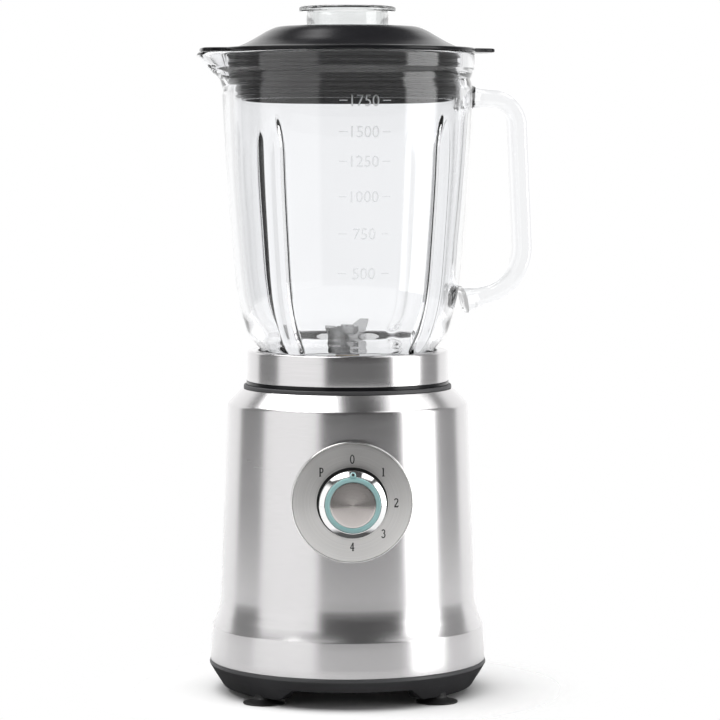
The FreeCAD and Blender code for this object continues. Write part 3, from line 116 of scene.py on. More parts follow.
def refine(outline, longest, closed=True):
    """The same outline with every stretch longer than longest cut into equal parts."""
    ends = np.roll(outline, -1, axis=0) if closed else outline[1:]
    out = []
    for a, b in zip(outline, ends):
        parts = max(1, math.ceil(np.linalg.norm(b - a) / longest))
        out.append(a + (b - a) * np.arange(parts)[:, None] / parts)
    if not closed:
        out.append(outline[-1:])
    return np.concatenate(out)


def grid_faces(rows, columns, wrap_rows, wrap_columns):
    """Corner numbers of the quads of a grid, with the last row or column joined to the first on request."""
    i = np.arange(rows if wrap_rows else rows - 1)[:, None]
    j = np.arange(columns if wrap_columns else columns - 1)[None, :]
    i2, j2 = (i + 1) % rows, (j + 1) % columns
    corners = (i * columns + j, i2 * columns + j, i2 * columns + j2, i * columns + j2)
    return np.stack([np.broadcast_to(c, (i.size, j.size)).ravel() for c in corners], axis=1)


def tube_faces(rows, columns):
    """Faces of a closed bar: the quads between its rows, and a lid on its first and last row."""
    last = (rows - 1) * columns
    lids = [list(range(columns)), list(range(last, last + columns))]
    return grid_faces(rows, columns, False, True).tolist() + lids


def in_scene(name, data):
    """New object with this data, in the scene."""
    obj = bpy.data.objects.new(name, data)
    bpy.context.scene.collection.objects.link(obj)
    return obj


def piece(name, points, faces, body, finish, replaced=(), smooth=35):
    """A mesh object from points in millimetres, which rides on its body. Doubles are merged, so poles and
    seams close, the normals point outwards, and edges sharper than smooth degrees stay sharp."""
    mesh = bpy.data.meshes.new(name)
    points = np.asarray(points, float).reshape(-1, 3) * MM
    mesh.from_pydata(points.tolist(), [], [list(map(int, f)) for f in faces])
    work = bmesh.new()
    work.from_mesh(mesh)
    bmesh.ops.remove_doubles(work, verts=work.verts, dist=MERGE)
    bmesh.ops.dissolve_degenerate(work, edges=work.edges, dist=THINNEST)
    bmesh.ops.recalc_face_normals(work, faces=work.faces)
    work.to_mesh(mesh)
    work.free()
    obj = in_scene(name, mesh)
    mesh.shade_smooth()
    mesh.set_sharp_from_angle(angle=math.radians(smooth))
    mesh.materials.append(finish)
    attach(obj, body)
    if replaced:
        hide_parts(*replaced)
    return obj


def about_z(outline, steps=192):
    """Points of an outline of (radius, height) turned about Z: x = r cos a, y = r sin a."""
    turn = np.arange(steps) / steps * TURN
    r, z = outline[:, :1], outline[:, 1:]
    return np.stack([r * np.cos(turn), r * np.sin(turn), z + 0 * turn], axis=2)


def lathe(name, outline, body, finish, replaced=(), steps=192, smooth=35, shape=None):
    """Closed outline of (radius, height) turned about Z. shape, if given, moves the grid of points."""
    points = about_z(outline, steps)
    if shape is not None:
        points = shape(points)
    faces = grid_faces(len(outline), steps, True, True)
    return piece(name, points, faces, body, finish, replaced, smooth)


def dial_lathe(name, outline, body, finish, replaced=(), steps=128, smooth=35):
    """Closed outline of (radius, distance in front of the jug's axis) turned about the knob's own axis."""
    points = about_z(outline, steps)
    x, up, ahead = points[..., 0], points[..., 1], points[..., 2]
    points = np.stack([x, -ahead, up + DIAL_Z], axis=2)
    faces = grid_faces(len(outline), steps, True, True)
    return piece(name, points, faces, body, finish, replaced, smooth)


def turned(points, angle):
    """Points turned about Z by an angle in radians."""
    c, s = math.cos(angle), math.sin(angle)
    x, y, z = points[..., 0], points[..., 1], points[..., 2]
    return np.stack([x * c - y * s, x * s + y * c, z], axis=-1)


def ease(t):
    """Smooth step: 3 t^2 - 2 t^3 between 0 and 1, flat outside."""
    t = np.clip(t, 0, 1)
    return t * t * (3 - 2 * t)


# ---- materials ----

FIELD_LOW, FIELD_HIGH = 0.3, 0.7  # nearly all of a noise field lies between these
QUARTER = 0.25                    # a quarter turn, as a share of a full one


def new_finish(name):
    """An empty material, with its node tree and its shader."""
    mat = bpy.data.materials.new(name)
    mat.use_nodes = True
    return mat, mat.node_tree, mat.node_tree.nodes["Principled BSDF"]


def math_node(tree, operation, first, second=None, third=None):
    """One Math node; an input may be a number or another node's output."""
    node = tree.nodes.new("ShaderNodeMath")
    node.operation = operation
    for socket, value in zip(node.inputs, (first, second, third)):
        if value is None:
            continue
        if isinstance(value, (int, float)):
            socket.default_value = value
        else:
            tree.links.new(value, socket)
    return node.outputs["Value"]


def vector_node(tree, operation, first, second=None):
    """One Vector Math node over another node's output and, for some operations, a fixed vector."""
    node = tree.nodes.new("ShaderNodeVectorMath")
    node.operation = operation
    tree.links.new(first, node.inputs[0])
    if second is not None:
        node.inputs[1].default_value = second
    return node


def ramp(tree, source, stops):
    """Colour ramp through (place, colour) stops, read at source."""
    node = tree.nodes.new("ShaderNodeValToRGB")
    elements = node.color_ramp.elements
    elements.remove(elements[1])
    for i, (place, colour) in enumerate(stops):
        element = elements[0] if i == 0 else elements.new(place)
        element.position = place
        element.color = (*colour, 1)
    tree.links.new(source, node.inputs["Fac"])
    return node.outputs["Color"]


def ranged(tree, source, ends, results, smooth=False):
    """Maps the two ends of a field onto two results, in a straight line or as a smooth step."""
    node = tree.nodes.new("ShaderNodeMapRange")
    if smooth:
        node.interpolation_type = "SMOOTHSTEP"
    for socket, value in zip(("From Min", "From Max", "To Min", "To Max"), (*ends, *results)):
        node.inputs[socket].default_value = value
    tree.links.new(source, node.inputs["Value"])
    return node.outputs["Result"]


def blend(tree, factor, first, second):
    """Mix of two colours, each a number for a plain grey or another node's output."""
    node = tree.nodes.new("ShaderNodeMix")
    node.data_type = "RGBA"
    tree.links.new(factor, node.inputs["Factor"])
    for socket, value in ((node.inputs[6], first), (node.inputs[7], second)):
        if isinstance(value, (int, float)):
            socket.default_value = (value, value, value, 1)
        else:
            tree.links.new(value, socket)
    return node.outputs[2]


def noise_field(tree, scale, detail=3.0, stretch=None, vector=None):
    """Noise over the piece's own coordinates, in metres, optionally stretched along an axis."""
    noise = tree.nodes.new("ShaderNodeTexNoise")
    noise.inputs["Scale"].default_value = scale
    noise.inputs["Detail"].default_value = detail
    if vector is None:
        vector = tree.nodes.new("ShaderNodeTexCoord").outputs["Object"]
    if stretch is not None:
        mapping = tree.nodes.new("ShaderNodeMapping")
        mapping.inputs["Scale"].default_value = stretch
        tree.links.new(vector, mapping.inputs["Vector"])
        vector = mapping.outputs["Vector"]
    tree.links.new(vector, noise.inputs["Vector"])
    return noise.outputs["Fac"]


def spread(tree, field, low, high):
    """Maps a noise field onto low to high."""
    return ranged(tree, field, (FIELD_LOW, FIELD_HIGH), (low, high))


def tint(tree, field, colour, dark, light):
    """A colour that varies from dark to light times its own value along a noise field."""
    deep, pale = [c * dark for c in colour], [min(1, c * light) for c in colour]
    return ramp(tree, field, [(FIELD_LOW, deep), (FIELD_HIGH, pale)])


def relief(tree, field, shader, strength, distance):
    """Bumps distance metres deep, scaled by strength."""
    bump = tree.nodes.new("ShaderNodeBump")
    bump.inputs["Strength"].default_value = strength
    bump.inputs["Distance"].default_value = distance
    tree.links.new(field, bump.inputs["Height"])
    tree.links.new(bump.outputs["Normal"], shader.inputs["Normal"])


def circling(tree, shader, axis, stretch):
    """Makes the shader a metal with scratches round an axis, whose gloss spreads across them by stretch."""
    shader.inputs["Metallic"].default_value = 1.0
    shader.inputs["Anisotropic"].default_value = stretch
    shader.inputs["Anisotropic Rotation"].default_value = QUARTER
    tangent = tree.nodes.new("ShaderNodeTangent")
    tangent.direction_type = "RADIAL"
    tangent.axis = axis
    tree.links.new(tangent.outputs["Tangent"], shader.inputs["Tangent"])


def moulded(name, colour, rough=0.4, spread_rough=0.08, grain=900.0, bump=0.15, coat=0.0, metallic=0.0,
            shades=(0.85, 1.15), shine=0.5):
    """Moulded or cast finish: a fine grain in the surface and a slow variation in colour and gloss."""
    mat, tree, shader = new_finish(name)
    slow = noise_field(tree, 45.0, 4.0)
    fine = noise_field(tree, grain, 2.0)
    tree.links.new(tint(tree, slow, colour, *shades), shader.inputs["Base Color"])
    gloss = spread(tree, slow, rough - spread_rough, rough + spread_rough)
    tree.links.new(gloss, shader.inputs["Roughness"])
    relief(tree, fine, shader, bump, 0.0002)
    shader.inputs["Metallic"].default_value = metallic
    shader.inputs["Coat Weight"].default_value = coat
    shader.inputs["Specular IOR Level"].default_value = shine
    return mat


def angle_from_front(tree, x, y):
    """Angle about Z of a direction, 0 at the front and positive to the right."""
    return math_node(tree, "ARCTAN2", x, math_node(tree, "MULTIPLY", y, -1.0))


def round_axis(tree):
    """Coordinates that run round Z: the angle from the front, and the height in metres."""
    coord = tree.nodes.new("ShaderNodeTexCoord")
    parts = tree.nodes.new("ShaderNodeSeparateXYZ")
    tree.links.new(coord.outputs["Object"], parts.inputs["Vector"])
    joined = tree.nodes.new("ShaderNodeCombineXYZ")
    tree.links.new(angle_from_front(tree, parts.outputs["X"], parts.outputs["Y"]), joined.inputs["X"])
    tree.links.new(parts.outputs["Z"], joined.inputs["Y"])
    return joined.outputs["Vector"]


def brushed_steel(name, colour, rough=0.3, hairs=(9.0, 5200.0, 1.0)):
    """Steel brushed round the axis: hairlines that are long round the piece and very fine in height."""
    mat, tree, shader = new_finish(name)
    around = round_axis(tree)
    lines = noise_field(tree, 1.0, 3.0, hairs, around)
    broad = noise_field(tree, 1.0, 2.0, (hairs[0] / 4, hairs[1] / 5, 1.0), around)
    slow = noise_field(tree, 14.0, 2.0)
    tree.links.new(tint(tree, lines, colour, 0.955, 1.025), shader.inputs["Base Color"])
    streaks = spread(tree, broad, rough - 0.012, rough + 0.012)
    clouds = spread(tree, slow, -0.015, 0.015)
    tree.links.new(math_node(tree, "ADD", streaks, clouds), shader.inputs["Roughness"])
    relief(tree, lines, shader, 0.03, 0.00006)
    circling(tree, shader, "Z", 0.6)
    return mat


def spun_metal(name, colour, rough, rings, stretch):
    """Metal turned on a lathe about the knob's axis: fine rings whose pitch is set by rings, and gloss that
    spreads across them by stretch."""
    mat, tree, shader = new_finish(name)
    coord = tree.nodes.new("ShaderNodeTexCoord")
    centre = tree.nodes.new("ShaderNodeMapping")
    centre.inputs["Location"].default_value = (0, 0, -DIAL_Z * MM)
    tree.links.new(coord.outputs["Object"], centre.inputs["Vector"])
    flat = vector_node(tree, "MULTIPLY", centre.outputs["Vector"], (1, 0, 1))
    radius = vector_node(tree, "LENGTH", flat.outputs["Vector"])
    joined = tree.nodes.new("ShaderNodeCombineXYZ")
    tree.links.new(radius.outputs["Value"], joined.inputs["X"])
    lines = noise_field(tree, rings, 3.0, None, joined.outputs["Vector"])
    tree.links.new(tint(tree, lines, colour, 0.9, 1.08), shader.inputs["Base Color"])
    tree.links.new(spread(tree, lines, rough - 0.04, rough + 0.04), shader.inputs["Roughness"])
    relief(tree, lines, shader, 0.1, 0.0001)
    circling(tree, shader, "Y", stretch)
    return mat


def clear_finish(name, colour, ior=1.5, rough=0.0, wave=18.0, bump=0.05):
    """Clear glass or plastic, with the slow waves of a pressed or moulded wall."""
    mat, tree, shader = new_finish(name)
    waves = noise_field(tree, wave, 2.0)
    tree.links.new(tint(tree, waves, colour, 0.985, 1.0), shader.inputs["Base Color"])
    tree.links.new(spread(tree, waves, rough, rough + 0.01), shader.inputs["Roughness"])
    relief(tree, waves, shader, bump, 0.001)
    shader.inputs["Transmission Weight"].default_value = 1.0
    shader.inputs["IOR"].default_value = ior
    return mat


DIAL_Z = float(span("knob_cap")[0][2] + span("knob_cap")[1][2]) / 2    # height of the knob's axis
STEEL_COLOUR = (0.61, 0.60, 0.605)

STEEL = brushed_steel("brushed_steel", STEEL_COLOUR, 0.25)
STEEL_COLLAR = brushed_steel("brushed_collar_steel", STEEL_COLOUR, 0.24, (1.6, 1700.0, 1.0))
CHROME = moulded("polished_chrome", (0.80, 0.80, 0.80), 0.06, 0.02, 300.0, 0.01, metallic=1.0,
                 shades=(0.97, 1.0))
BRIGHT_FRAME = spun_metal("bright_frame_metal", (0.74, 0.74, 0.73), 0.2, 500.0, 0.3)
SATIN = spun_metal("satin_dial_metal", (0.66, 0.65, 0.64), 0.36, 1400.0, 0.75)
SPUN = spun_metal("spun_knob_metal", (0.62, 0.58, 0.56), 0.19, 2600.0, 0.94)
TEAL = moulded("teal_plastic", (0.19, 0.33, 0.33), 0.22, 0.05, 700.0, 0.05, coat=0.6)
DARK = moulded("dark_grey_plastic", (0.026, 0.026, 0.028), 0.5, 0.06, 1600.0, 0.22)
BLACK = moulded("black_gloss_plastic", (0.006, 0.006, 0.007), 0.2, 0.04, 1300.0, 0.12, shine=0.16)
RUBBER = moulded("black_rubber", (0.008, 0.008, 0.008), 0.42, 0.08, 1500.0, 0.15)
GLASS = clear_finish("jug_glass", (0.985, 0.99, 1.0), 1.5)
CLEAR = clear_finish("clear_plastic", (0.95, 0.96, 0.96), 1.45, 0.03, 60.0, 0.03)
# ink for the printed marks and the pointer's dot, and also the painted shade in the dial's groove
INK_AND_PAINTED_SHADE = moulded("printed_ink_and_painted_shade", (0.02, 0.02, 0.02), 0.6, 0.05, 900.0, 0.02)
SCALE = clear_finish("raised_scale", (0.93, 0.94, 0.94), 1.5, 0.28, 400.0, 0.2)
BLADE = moulded("ground_blade_steel", (0.60, 0.60, 0.60), 0.22, 0.06, 600.0, 0.05, metallic=1.0,
                shades=(0.9, 1.05))
IRON = moulded("laminated_iron", (0.22, 0.22, 0.23), 0.42, 0.1, 500.0, 0.2, metallic=1.0)
COPPER = moulded("enamelled_copper", (0.55, 0.22, 0.10), 0.35, 0.08, 700.0, 0.3, metallic=1.0)
BRONZE = moulded("sintered_bronze", (0.48, 0.33, 0.16), 0.4, 0.08, 900.0, 0.2, metallic=1.0)
CARBON = moulded("pressed_carbon", (0.03, 0.03, 0.03), 0.7, 0.1, 900.0, 0.3)
BOARD = moulded("board_green", (0.02, 0.12, 0.05), 0.4, 0.05, 500.0, 0.1)
ALLOY = moulded("cast_alloy", (0.55, 0.55, 0.56), 0.42, 0.08, 700.0, 0.2, metallic=1.0)

SLOT_FINISH = {
    "brushed_steel": STEEL, "dark_plastic": DARK, "black_plastic": BLACK, "black_rubber": RUBBER,
    "satin_metal": ALLOY, "chrome": CHROME, "teal_plastic": TEAL, "glass": GLASS, "clear_plastic": CLEAR,
    "blade_steel": BLADE, "bronze": BRONZE, "plain_steel": IRON, "copper": COPPER, "carbon": CARBON,
    "board": BOARD,
}
for node_name, node_object in NODES.items():
    node_object.data.materials.clear()
    node_object.data.materials.append(SLOT_FINISH[SLOT_OF[node_name]])


# ---- housing, cover and feet ----

HOUSING_LOW, HOUSING_HIGH = span("base_housing")
SKIRT_BOTTOM, HOUSING_TOP = HOUSING_LOW[2], HOUSING_HIGH[2]
SKIRT_RADIUS = HOUSING_HIGH[0]
SKIRT_TOP, SKIRT_TOP_RADIUS = SKIRT_BOTTOM + 20.5, SKIRT_RADIUS - 1.1
WAIST_TOP, WAIST_RADIUS = SKIRT_TOP + 18.0, SKIRT_RADIUS - 6.2
SHOULDER_TOP, SHOULDER_RADIUS = HOUSING_TOP - 9.0, SKIRT_RADIUS - 10.3
SWEEP_CURVE = -42.0               # radius of the hollow sweep from the skirt to the waist
NECK_RADIUS = 61.6
MOUTH_RADIUS = 56.0
SHELL = 1.0                       # thickness of the steel
PAN_LIFT = 7.1                    # the pan's floor above the soles of its legs
PAN_FLOOR = 2.5
PAN_BEAD_DROP = 1.9               # the pan's widest place below the skirt
PAN_DRAFT = 0.59                  # how far its side draws in for each millimetre down
LEG_DEPTH = 17.0                  # a leg's sole, from its outer to its inner wall


def housing_radius(z):
    """Radius of the tapered wall: a straight line from the waist to the shoulder."""
    return WAIST_RADIUS + (SHOULDER_RADIUS - WAIST_RADIUS) * (z - WAIST_TOP) / (SHOULDER_TOP - WAIST_TOP)


def base_housing():
    """Steel shell: flared skirt, hollow sweep, tapered wall, sloping shoulder."""
    sweep = bow((SKIRT_TOP_RADIUS, SKIRT_TOP), (WAIST_RADIUS, WAIST_TOP), SWEEP_CURVE)
    outline = rounded([
        (SKIRT_RADIUS, SKIRT_BOTTOM, 0.3), (SKIRT_TOP_RADIUS, SKIRT_TOP, 1.2), *sweep,
        (WAIST_RADIUS, WAIST_TOP), (SHOULDER_RADIUS, SHOULDER_TOP, 3.2),
        (NECK_RADIUS, HOUSING_TOP, 0.8), (MOUTH_RADIUS, HOUSING_TOP), (MOUTH_RADIUS, HOUSING_TOP - SHELL),
        (NECK_RADIUS - 0.4, HOUSING_TOP - SHELL), (SHOULDER_RADIUS - 1.1, SHOULDER_TOP - 0.6),
        (WAIST_RADIUS - SHELL, WAIST_TOP), (SKIRT_TOP_RADIUS - SHELL, SKIRT_TOP),
        (SKIRT_RADIUS - SHELL, SKIRT_BOTTOM, 0.3),
    ])
    lathe("housing_shell", refine(outline, 6.0), "base", STEEL, ["base_housing"], 256)


def bottom_cover():
    """Plastic pan: a rounded bead at its widest, a side that draws in downwards, and a flat floor."""
    low, high = span("bottom_cover")
    pan_low = low[2] + PAN_LIFT
    bead = SKIRT_BOTTOM - PAN_BEAD_DROP
    radius = high[0]
    outline = rounded([
        (0, pan_low), (radius - (bead - pan_low) * PAN_DRAFT, pan_low, 1.0), (radius, bead, 0.9),
        (SKIRT_RADIUS + 0.1, SKIRT_BOTTOM - 0.1, 0.4), (79.0, SKIRT_BOTTOM - 0.1), (79.0, high[2]),
        (76.6, high[2]), (76.6, pan_low + PAN_FLOOR), (0, pan_low + PAN_FLOOR),
    ])
    lathe("cover_pan", refine(outline, 8.0), "base", DARK, ["bottom_cover"], 256)
    for word, angle in (("right", 0.0), ("left", math.pi)):
        cover_leg(word, angle, low[2], pan_low, radius, bead)


def cover_leg(word, middle, low, pan_low, radius, bead):
    """Leg along one side of the pan: the pan's slope carried on down to a flat sole. Near its ends the outer
    skin is cut off at a slant, so its sole rises with the angle, while the inner wall ends square."""
    degrees = np.array([64.2, 62.4, 60.4, 58.4, 57.0, 56.0, 55.2])
    outer_rise = np.array([7.3, 5.6, 3.9, 2.2, 1.0, 0.25, 0.0])
    inner_rise = np.array([7.3, 7.3, 7.3, 7.3, 7.0, 0.3, 0.0])
    plain = np.linspace(54, -54, 37)
    turn = np.radians(np.concatenate([degrees, plain, -degrees[::-1]])) + middle
    outer_up = np.concatenate([outer_rise, 0 * plain, outer_rise[::-1]])[:, None]
    inner_up = np.concatenate([inner_rise, 0 * plain, inner_rise[::-1]])[:, None]
    inner = radius - (bead - pan_low) * PAN_DRAFT - LEG_DEPTH
    top = pan_low + 1.2
    sole = low + outer_up
    inside = low + inner_up
    outer = radius - (bead - sole) * PAN_DRAFT
    flat = 0 * sole
    r = np.hstack([flat + inner, flat + inner, flat + inner + 0.5, flat + 67.0, outer - 1.1, outer - 0.3,
                   outer + 0.25, flat + radius - (bead - top) * PAN_DRAFT])
    z = np.hstack([flat + top, inside + 0.5, inside, np.minimum(inside, sole + 0.1), sole, sole + 0.3,
                   sole + 1.0, flat + top])
    z = np.minimum(z, top)
    points = np.stack([r * np.cos(turn)[:, None], r * np.sin(turn)[:, None], z], axis=2)
    faces = tube_faces(*r.shape)
    piece(f"cover_leg_{word}", points, faces, "base", DARK)


def suction_foot(node):
    """Rubber foot: a neck that flares into a thin lip, hollow underneath."""
    low, high = span(node)
    middle = (low + high) / 2
    outline = rounded([
        (0, 1.6), (7.0, 1.4, 3.0), (11.6, 0.0, 0.2), (12.3, 0.1, 0.15), (12.2, 0.7, 0.2), (8.6, 1.5, 2.0),
        (5.5, 3.0, 1.6), (5.6, high[2]), (0, high[2]),
    ])

    def place(points):
        return points + np.array([middle[0], middle[1], 0])
    lathe(f"{node}_rubber", outline, "base", RUBBER, [node], 64, shape=place)


FLANGE = 2.6                      # thickness of the cord bush's flange


def cord_gland():
    """Bush for the cord at the rear: a rounded flange outside and a short neck inside."""
    low, high = span("cord_gland")
    height = (low[2] + high[2]) / 2
    wall = high[1] - FLANGE
    outline = rounded([
        (3.6, low[1]), (6.3, low[1]), (6.3, wall), (8.5, wall, 0.3), (8.5, high[1], 1.2), (3.6, high[1], 0.8),
    ])
    points = about_z(outline, 64)
    x, up, behind = points[..., 0], points[..., 1], points[..., 2]
    points = np.stack([x, behind, up + height], axis=2)
    faces = grid_faces(len(outline), 64, True, True)
    piece("cord_gland_bush", points, faces, "base", RUBBER, ["cord_gland"])


# ---- dial and knob ----

DIAL_RIM = 0.85                   # width of the frame's bright rim round the plate
DIAL_BOW = 1.5                    # how far the plate's middle stands in front of its edge
GROOVE_DEPTH = 0.9
GROOVE_WIDTH = 0.75               # the groove round the knob, with a black ring in its floor as painted shade
MARK_RADIUS, MARK_HEIGHT = 24.8, 5.0
DISC_BOW = 0.34                   # the same for the disc in the knob
POINTER_LENGTH, POINTER_HALF = 3.3, 1.75
CONE_SLOPE = 0.62                 # how fast the knob's cone falls back with the radius
DOT_LEAN = math.radians(62)
PEN = 0.33                        # half the width of a mark's lines
MARK_ANGLES = {"0": 90, "1": 45, "2": 0, "3": -45, "4": -90, "P": 135}


def dial_bezel():
    """Bright frame of the dial. Its back edge follows the housing: y = -sqrt(R(z)^2 - x^2)."""
    low, high = span("dial_bezel")
    face, radius = -low[1], high[0]
    back, steps = face - 14, 160
    turn = np.arange(steps) / steps * TURN
    outline = rounded([
        (radius, back), (radius, face, 0.5), (radius - 0.75, face, 0.15),
        (radius - DIAL_RIM, face - 0.9), (radius - 6, face - 0.9), (radius - 6, back),
    ])
    r, ahead = outline[:, :1], outline[:, 1:]
    x, z = r * np.cos(turn), r * np.sin(turn) + DIAL_Z
    wall = np.sqrt(housing_radius(z) ** 2 - x ** 2) - 0.5
    depth = np.where(ahead < face - 10, wall, ahead + 0 * x)
    points = np.stack([x, -depth, z], axis=2)
    faces = grid_faces(len(outline), steps, True, True)
    piece("dial_frame", points, faces, "base", BRIGHT_FRAME, ["dial_bezel"])


def dial_plate():
    """Round plate inside the frame, bowed by b (1 - (r / edge)^2). A groove runs round the knob, with a black
    ring in its floor as painted shade, and marks stand round that."""
    low, high = span("dial_bezel")
    face = -low[1] - 0.12
    edge = high[0] - DIAL_RIM - 0.01
    groove = span("knob_ring")[1][0] + GROOVE_WIDTH
    floor_of_groove = face - GROOVE_DEPTH
    outline = rounded([
        (3.5, face - 1.4), (edge, face - 1.4), (edge, face, 0.25), (groove, face, 0.15),
        (groove, floor_of_groove), (3.5, floor_of_groove),
    ])
    outline = refine(outline, 2.0)
    outline[:, 1] += np.where(outline[:, 1] > face - 0.3, DIAL_BOW * (1 - (outline[:, 0] / edge) ** 2), 0)
    dial_lathe("dial_disc", outline, "base", SATIN, ["dial_plate"], 160)
    # painted shade: a black ring laid in the groove's floor, standing in for the shade down in the groove
    black = rounded([
        (14.0, floor_of_groove), (groove, floor_of_groove), (groove, floor_of_groove + 0.15),
        (14.0, floor_of_groove + 0.15),
    ])
    dial_lathe("dial_groove_painted_shade", black, "base", INK_AND_PAINTED_SHADE, (), 128)
    for mark, degrees in MARK_ANGLES.items():
        points, faces = strokes(MARKS[mark], MARK_HEIGHT, PEN)
        x = points[:, 0] + MARK_RADIUS * math.cos(math.radians(degrees))
        up = points[:, 1] + MARK_RADIUS * math.sin(math.radians(degrees))
        rise = DIAL_BOW * (1 - (x ** 2 + up ** 2) / edge ** 2)
        y = -(face + 0.02 + rise) - points[:, 2] * 0.06
        points = np.stack([x, y, up + DIAL_Z], axis=1)
        piece(f"dial_mark_{mark}", points, faces, "base", INK_AND_PAINTED_SHADE)


def oval(middle, wide, tall, start, end, steps=14):
    """Part of an ellipse, from start to end degrees, as points (x, y)."""
    turn = np.radians(np.linspace(start, end, steps))
    return np.stack([middle[0] + wide * np.cos(turn), middle[1] + tall * np.sin(turn)], axis=1)


# The dial's marks as pen lines of (share of the pen's width, points), in a box one unit tall.
MARKS = {
    "0": [(1.0, oval((0, 0), 0.2, 0.46, 0, 360, 40))],
    "1": [(1.2, [(0.0, 0.46), (0.0, -0.46)]), (0.7, [(-0.13, 0.33), (0.0, 0.45)]),
          (0.8, [(-0.14, -0.46), (0.14, -0.46)])],
    "2": [(1.0, np.concatenate([oval((0, 0.24), 0.19, 0.22, 165, -20), [(0.02, -0.12), (-0.2, -0.44)]])),
          (1.3, [(-0.2, -0.44), (0.21, -0.44)]), (0.8, [(0.2, -0.46), (0.22, -0.3)])],
    "3": [(1.0, np.concatenate([oval((0, 0.25), 0.16, 0.2, 160, -80),
                                oval((0, -0.2), 0.19, 0.25, 80, -160)]))],
    "4": [(1.2, [(0.08, 0.46), (0.08, -0.46)]), (0.8, [(0.08, 0.45), (-0.22, -0.18)]),
          (1.0, [(-0.22, -0.18), (0.23, -0.18)]), (0.8, [(-0.04, -0.46), (0.2, -0.46)])],
    "P": [(1.2, [(-0.12, 0.46), (-0.12, -0.46)]), (0.8, [(-0.22, -0.46), (0.0, -0.46)]),
          (1.0, np.concatenate([[(-0.2, 0.45)], oval((0.0, 0.2), 0.2, 0.25, 90, -90), [(-0.12, -0.05)]]))],
}


def strokes(lines, height, half):
    """Mesh of pen lines: each line is widened by half a pen to both sides along its normals, and closed into
    a bar one unit deep. Returns (points, faces)."""
    points, faces = [], []
    for share, route in lines:
        route = np.asarray(route, float) * height
        along = np.gradient(route, axis=0)
        along /= np.linalg.norm(along, axis=1)[:, None]
        side = np.stack([-along[:, 1], along[:, 0]], axis=1) * half * share
        zero, one = np.zeros((len(route), 1)), np.ones((len(route), 1))
        bar = np.stack([np.hstack([route + side, zero]), np.hstack([route - side, zero]),
                        np.hstack([route - side, one]), np.hstack([route + side, one])], axis=1)
        first = sum(len(p) for p in points)
        faces += [[first + corner for corner in face] for face in tube_faces(len(route), 4)]
        points.append(bar.reshape(-1, 3))
    return np.concatenate(points), faces


def letters(words, height, narrow):
    """Mesh of a line of letters, centred, height millimetres tall, as (points, faces). Depth runs 0 to 1, and
    narrow scales the width."""
    curve = bpy.data.curves.new("letters", "FONT")
    curve.body = words
    curve.align_x = "CENTER"
    curve.extrude = 0.5
    curve.resolution_u = 4
    made = in_scene("letters", curve)
    bpy.context.view_layer.update()
    mesh = bpy.data.meshes.new_from_object(made)
    points = np.zeros(len(mesh.vertices) * 3)
    mesh.vertices.foreach_get("co", points)
    points = points.reshape(-1, 3)
    faces = [list(p.vertices) for p in mesh.polygons]
    bpy.data.objects.remove(made)
    bpy.data.curves.remove(curve)
    bpy.data.meshes.remove(mesh)
    low, high = points.min(axis=0), points.max(axis=0)
    scale = height / (high[1] - low[1])
    centre = (low + high) / 2
    points = (points - centre) * [scale * narrow, scale, 1.0] + [0, 0, 0.5]
    return points, faces


def knob():
    """Chromed body with a rounded skirt and a cone towards the front, a teal ring and a spun disc."""
    low, high = span("knob_ring")
    back, front = -high[1], -low[1]
    tip = span("knob_light_ring")[1][0]
    disc_radius = span("knob_cap")[1][0]
    outer = high[0] - 0.35
    seat = front - 2.2
    outline = rounded([
        (outer - 2, back), (outer, back, 0.3), (outer, front - 2.6, 0.8), (tip + 0.45, front - 0.7, 0.3),
        (tip, front - 0.6, 0.2), (tip, seat), (3.2, seat), (3.2, seat - 2.2), (tip - 1, seat - 2.2),
    ])
    dial_lathe("knob_body", outline, "knob", CHROME, ["knob_ring"])
    teal = rounded([
        (disc_radius + 0.05, front - 2.3), (tip - 0.05, front - 2.3), (tip - 0.05, front - 0.35, 0.6),
        ((disc_radius + tip) / 2, front + 0.15, 1.2), (disc_radius + 0.05, front - 0.45, 0.6),
    ])
    dial_lathe("knob_teal_ring", teal, "knob", TEAL, ["knob_light_ring"])
    disc = rounded([
        (0, front - 2.3), (disc_radius, front - 2.3), (disc_radius, front - 0.7, 0.3), (0, front - 0.7),
    ])
    disc = refine(disc, 1.0)
    disc[:, 1] += np.where(disc[:, 1] > front - 1, DISC_BOW * (1 - (disc[:, 0] / disc_radius) ** 2), 0)
    dial_lathe("knob_disc", disc, "knob", SPUN, ["knob_cap"])
    pointer(front, tip)


def pointer(front, tip):
    """Teal tab from the ring out across the cone at the top of the knob, with a black dot in it. Its half
    width is w (1 - s^4)^0.5 at a share s of its length, and it follows the cone at a small height above."""
    along = np.append(np.linspace(0, 0.9, 12), [0.95, 0.98, 0.995])
    r = tip - 0.5 + along * POINTER_LENGTH
    ahead = front - 0.15 - np.clip(r - tip - 0.3, 0, None) * CONE_SLOPE
    half = POINTER_HALF * np.sqrt(1 - along ** 4)
    rows = []
    for side, lift in ((-1, -1.0), (-1, 0.1), (-0.6, 0.3), (0.6, 0.3), (1, 0.1), (1, -1.0)):
        rows.append(np.stack([side * half, -(ahead + lift), DIAL_Z + r + lift * 0.3], axis=1))
    points = np.stack(rows, axis=1)
    faces = tube_faces(len(along), len(rows))
    piece("knob_pointer", points, faces, "knob", TEAL)
    dot = rounded([(0, -0.3), (0.85, -0.3), (0.85, 0.35, 0.2), (0, 0.35)])
    points = about_z(dot, 24)
    place = np.array([0, -(front - 0.5), DIAL_Z + tip + 1.35])
    lean = np.array(Matrix.Rotation(DOT_LEAN, 3, "X"))
    points = points.reshape(-1, 3) @ lean.T + place
    piece("knob_dot", points, grid_faces(len(dot), 24, True, True), "knob", INK_AND_PAINTED_SHADE)


# ---- seat and collar ----

SEAT_DEPTH = 14                   # the well's floor below the rim
LUGS = 4
LUG_HALF = 4.5
LUG_HEIGHT = 9


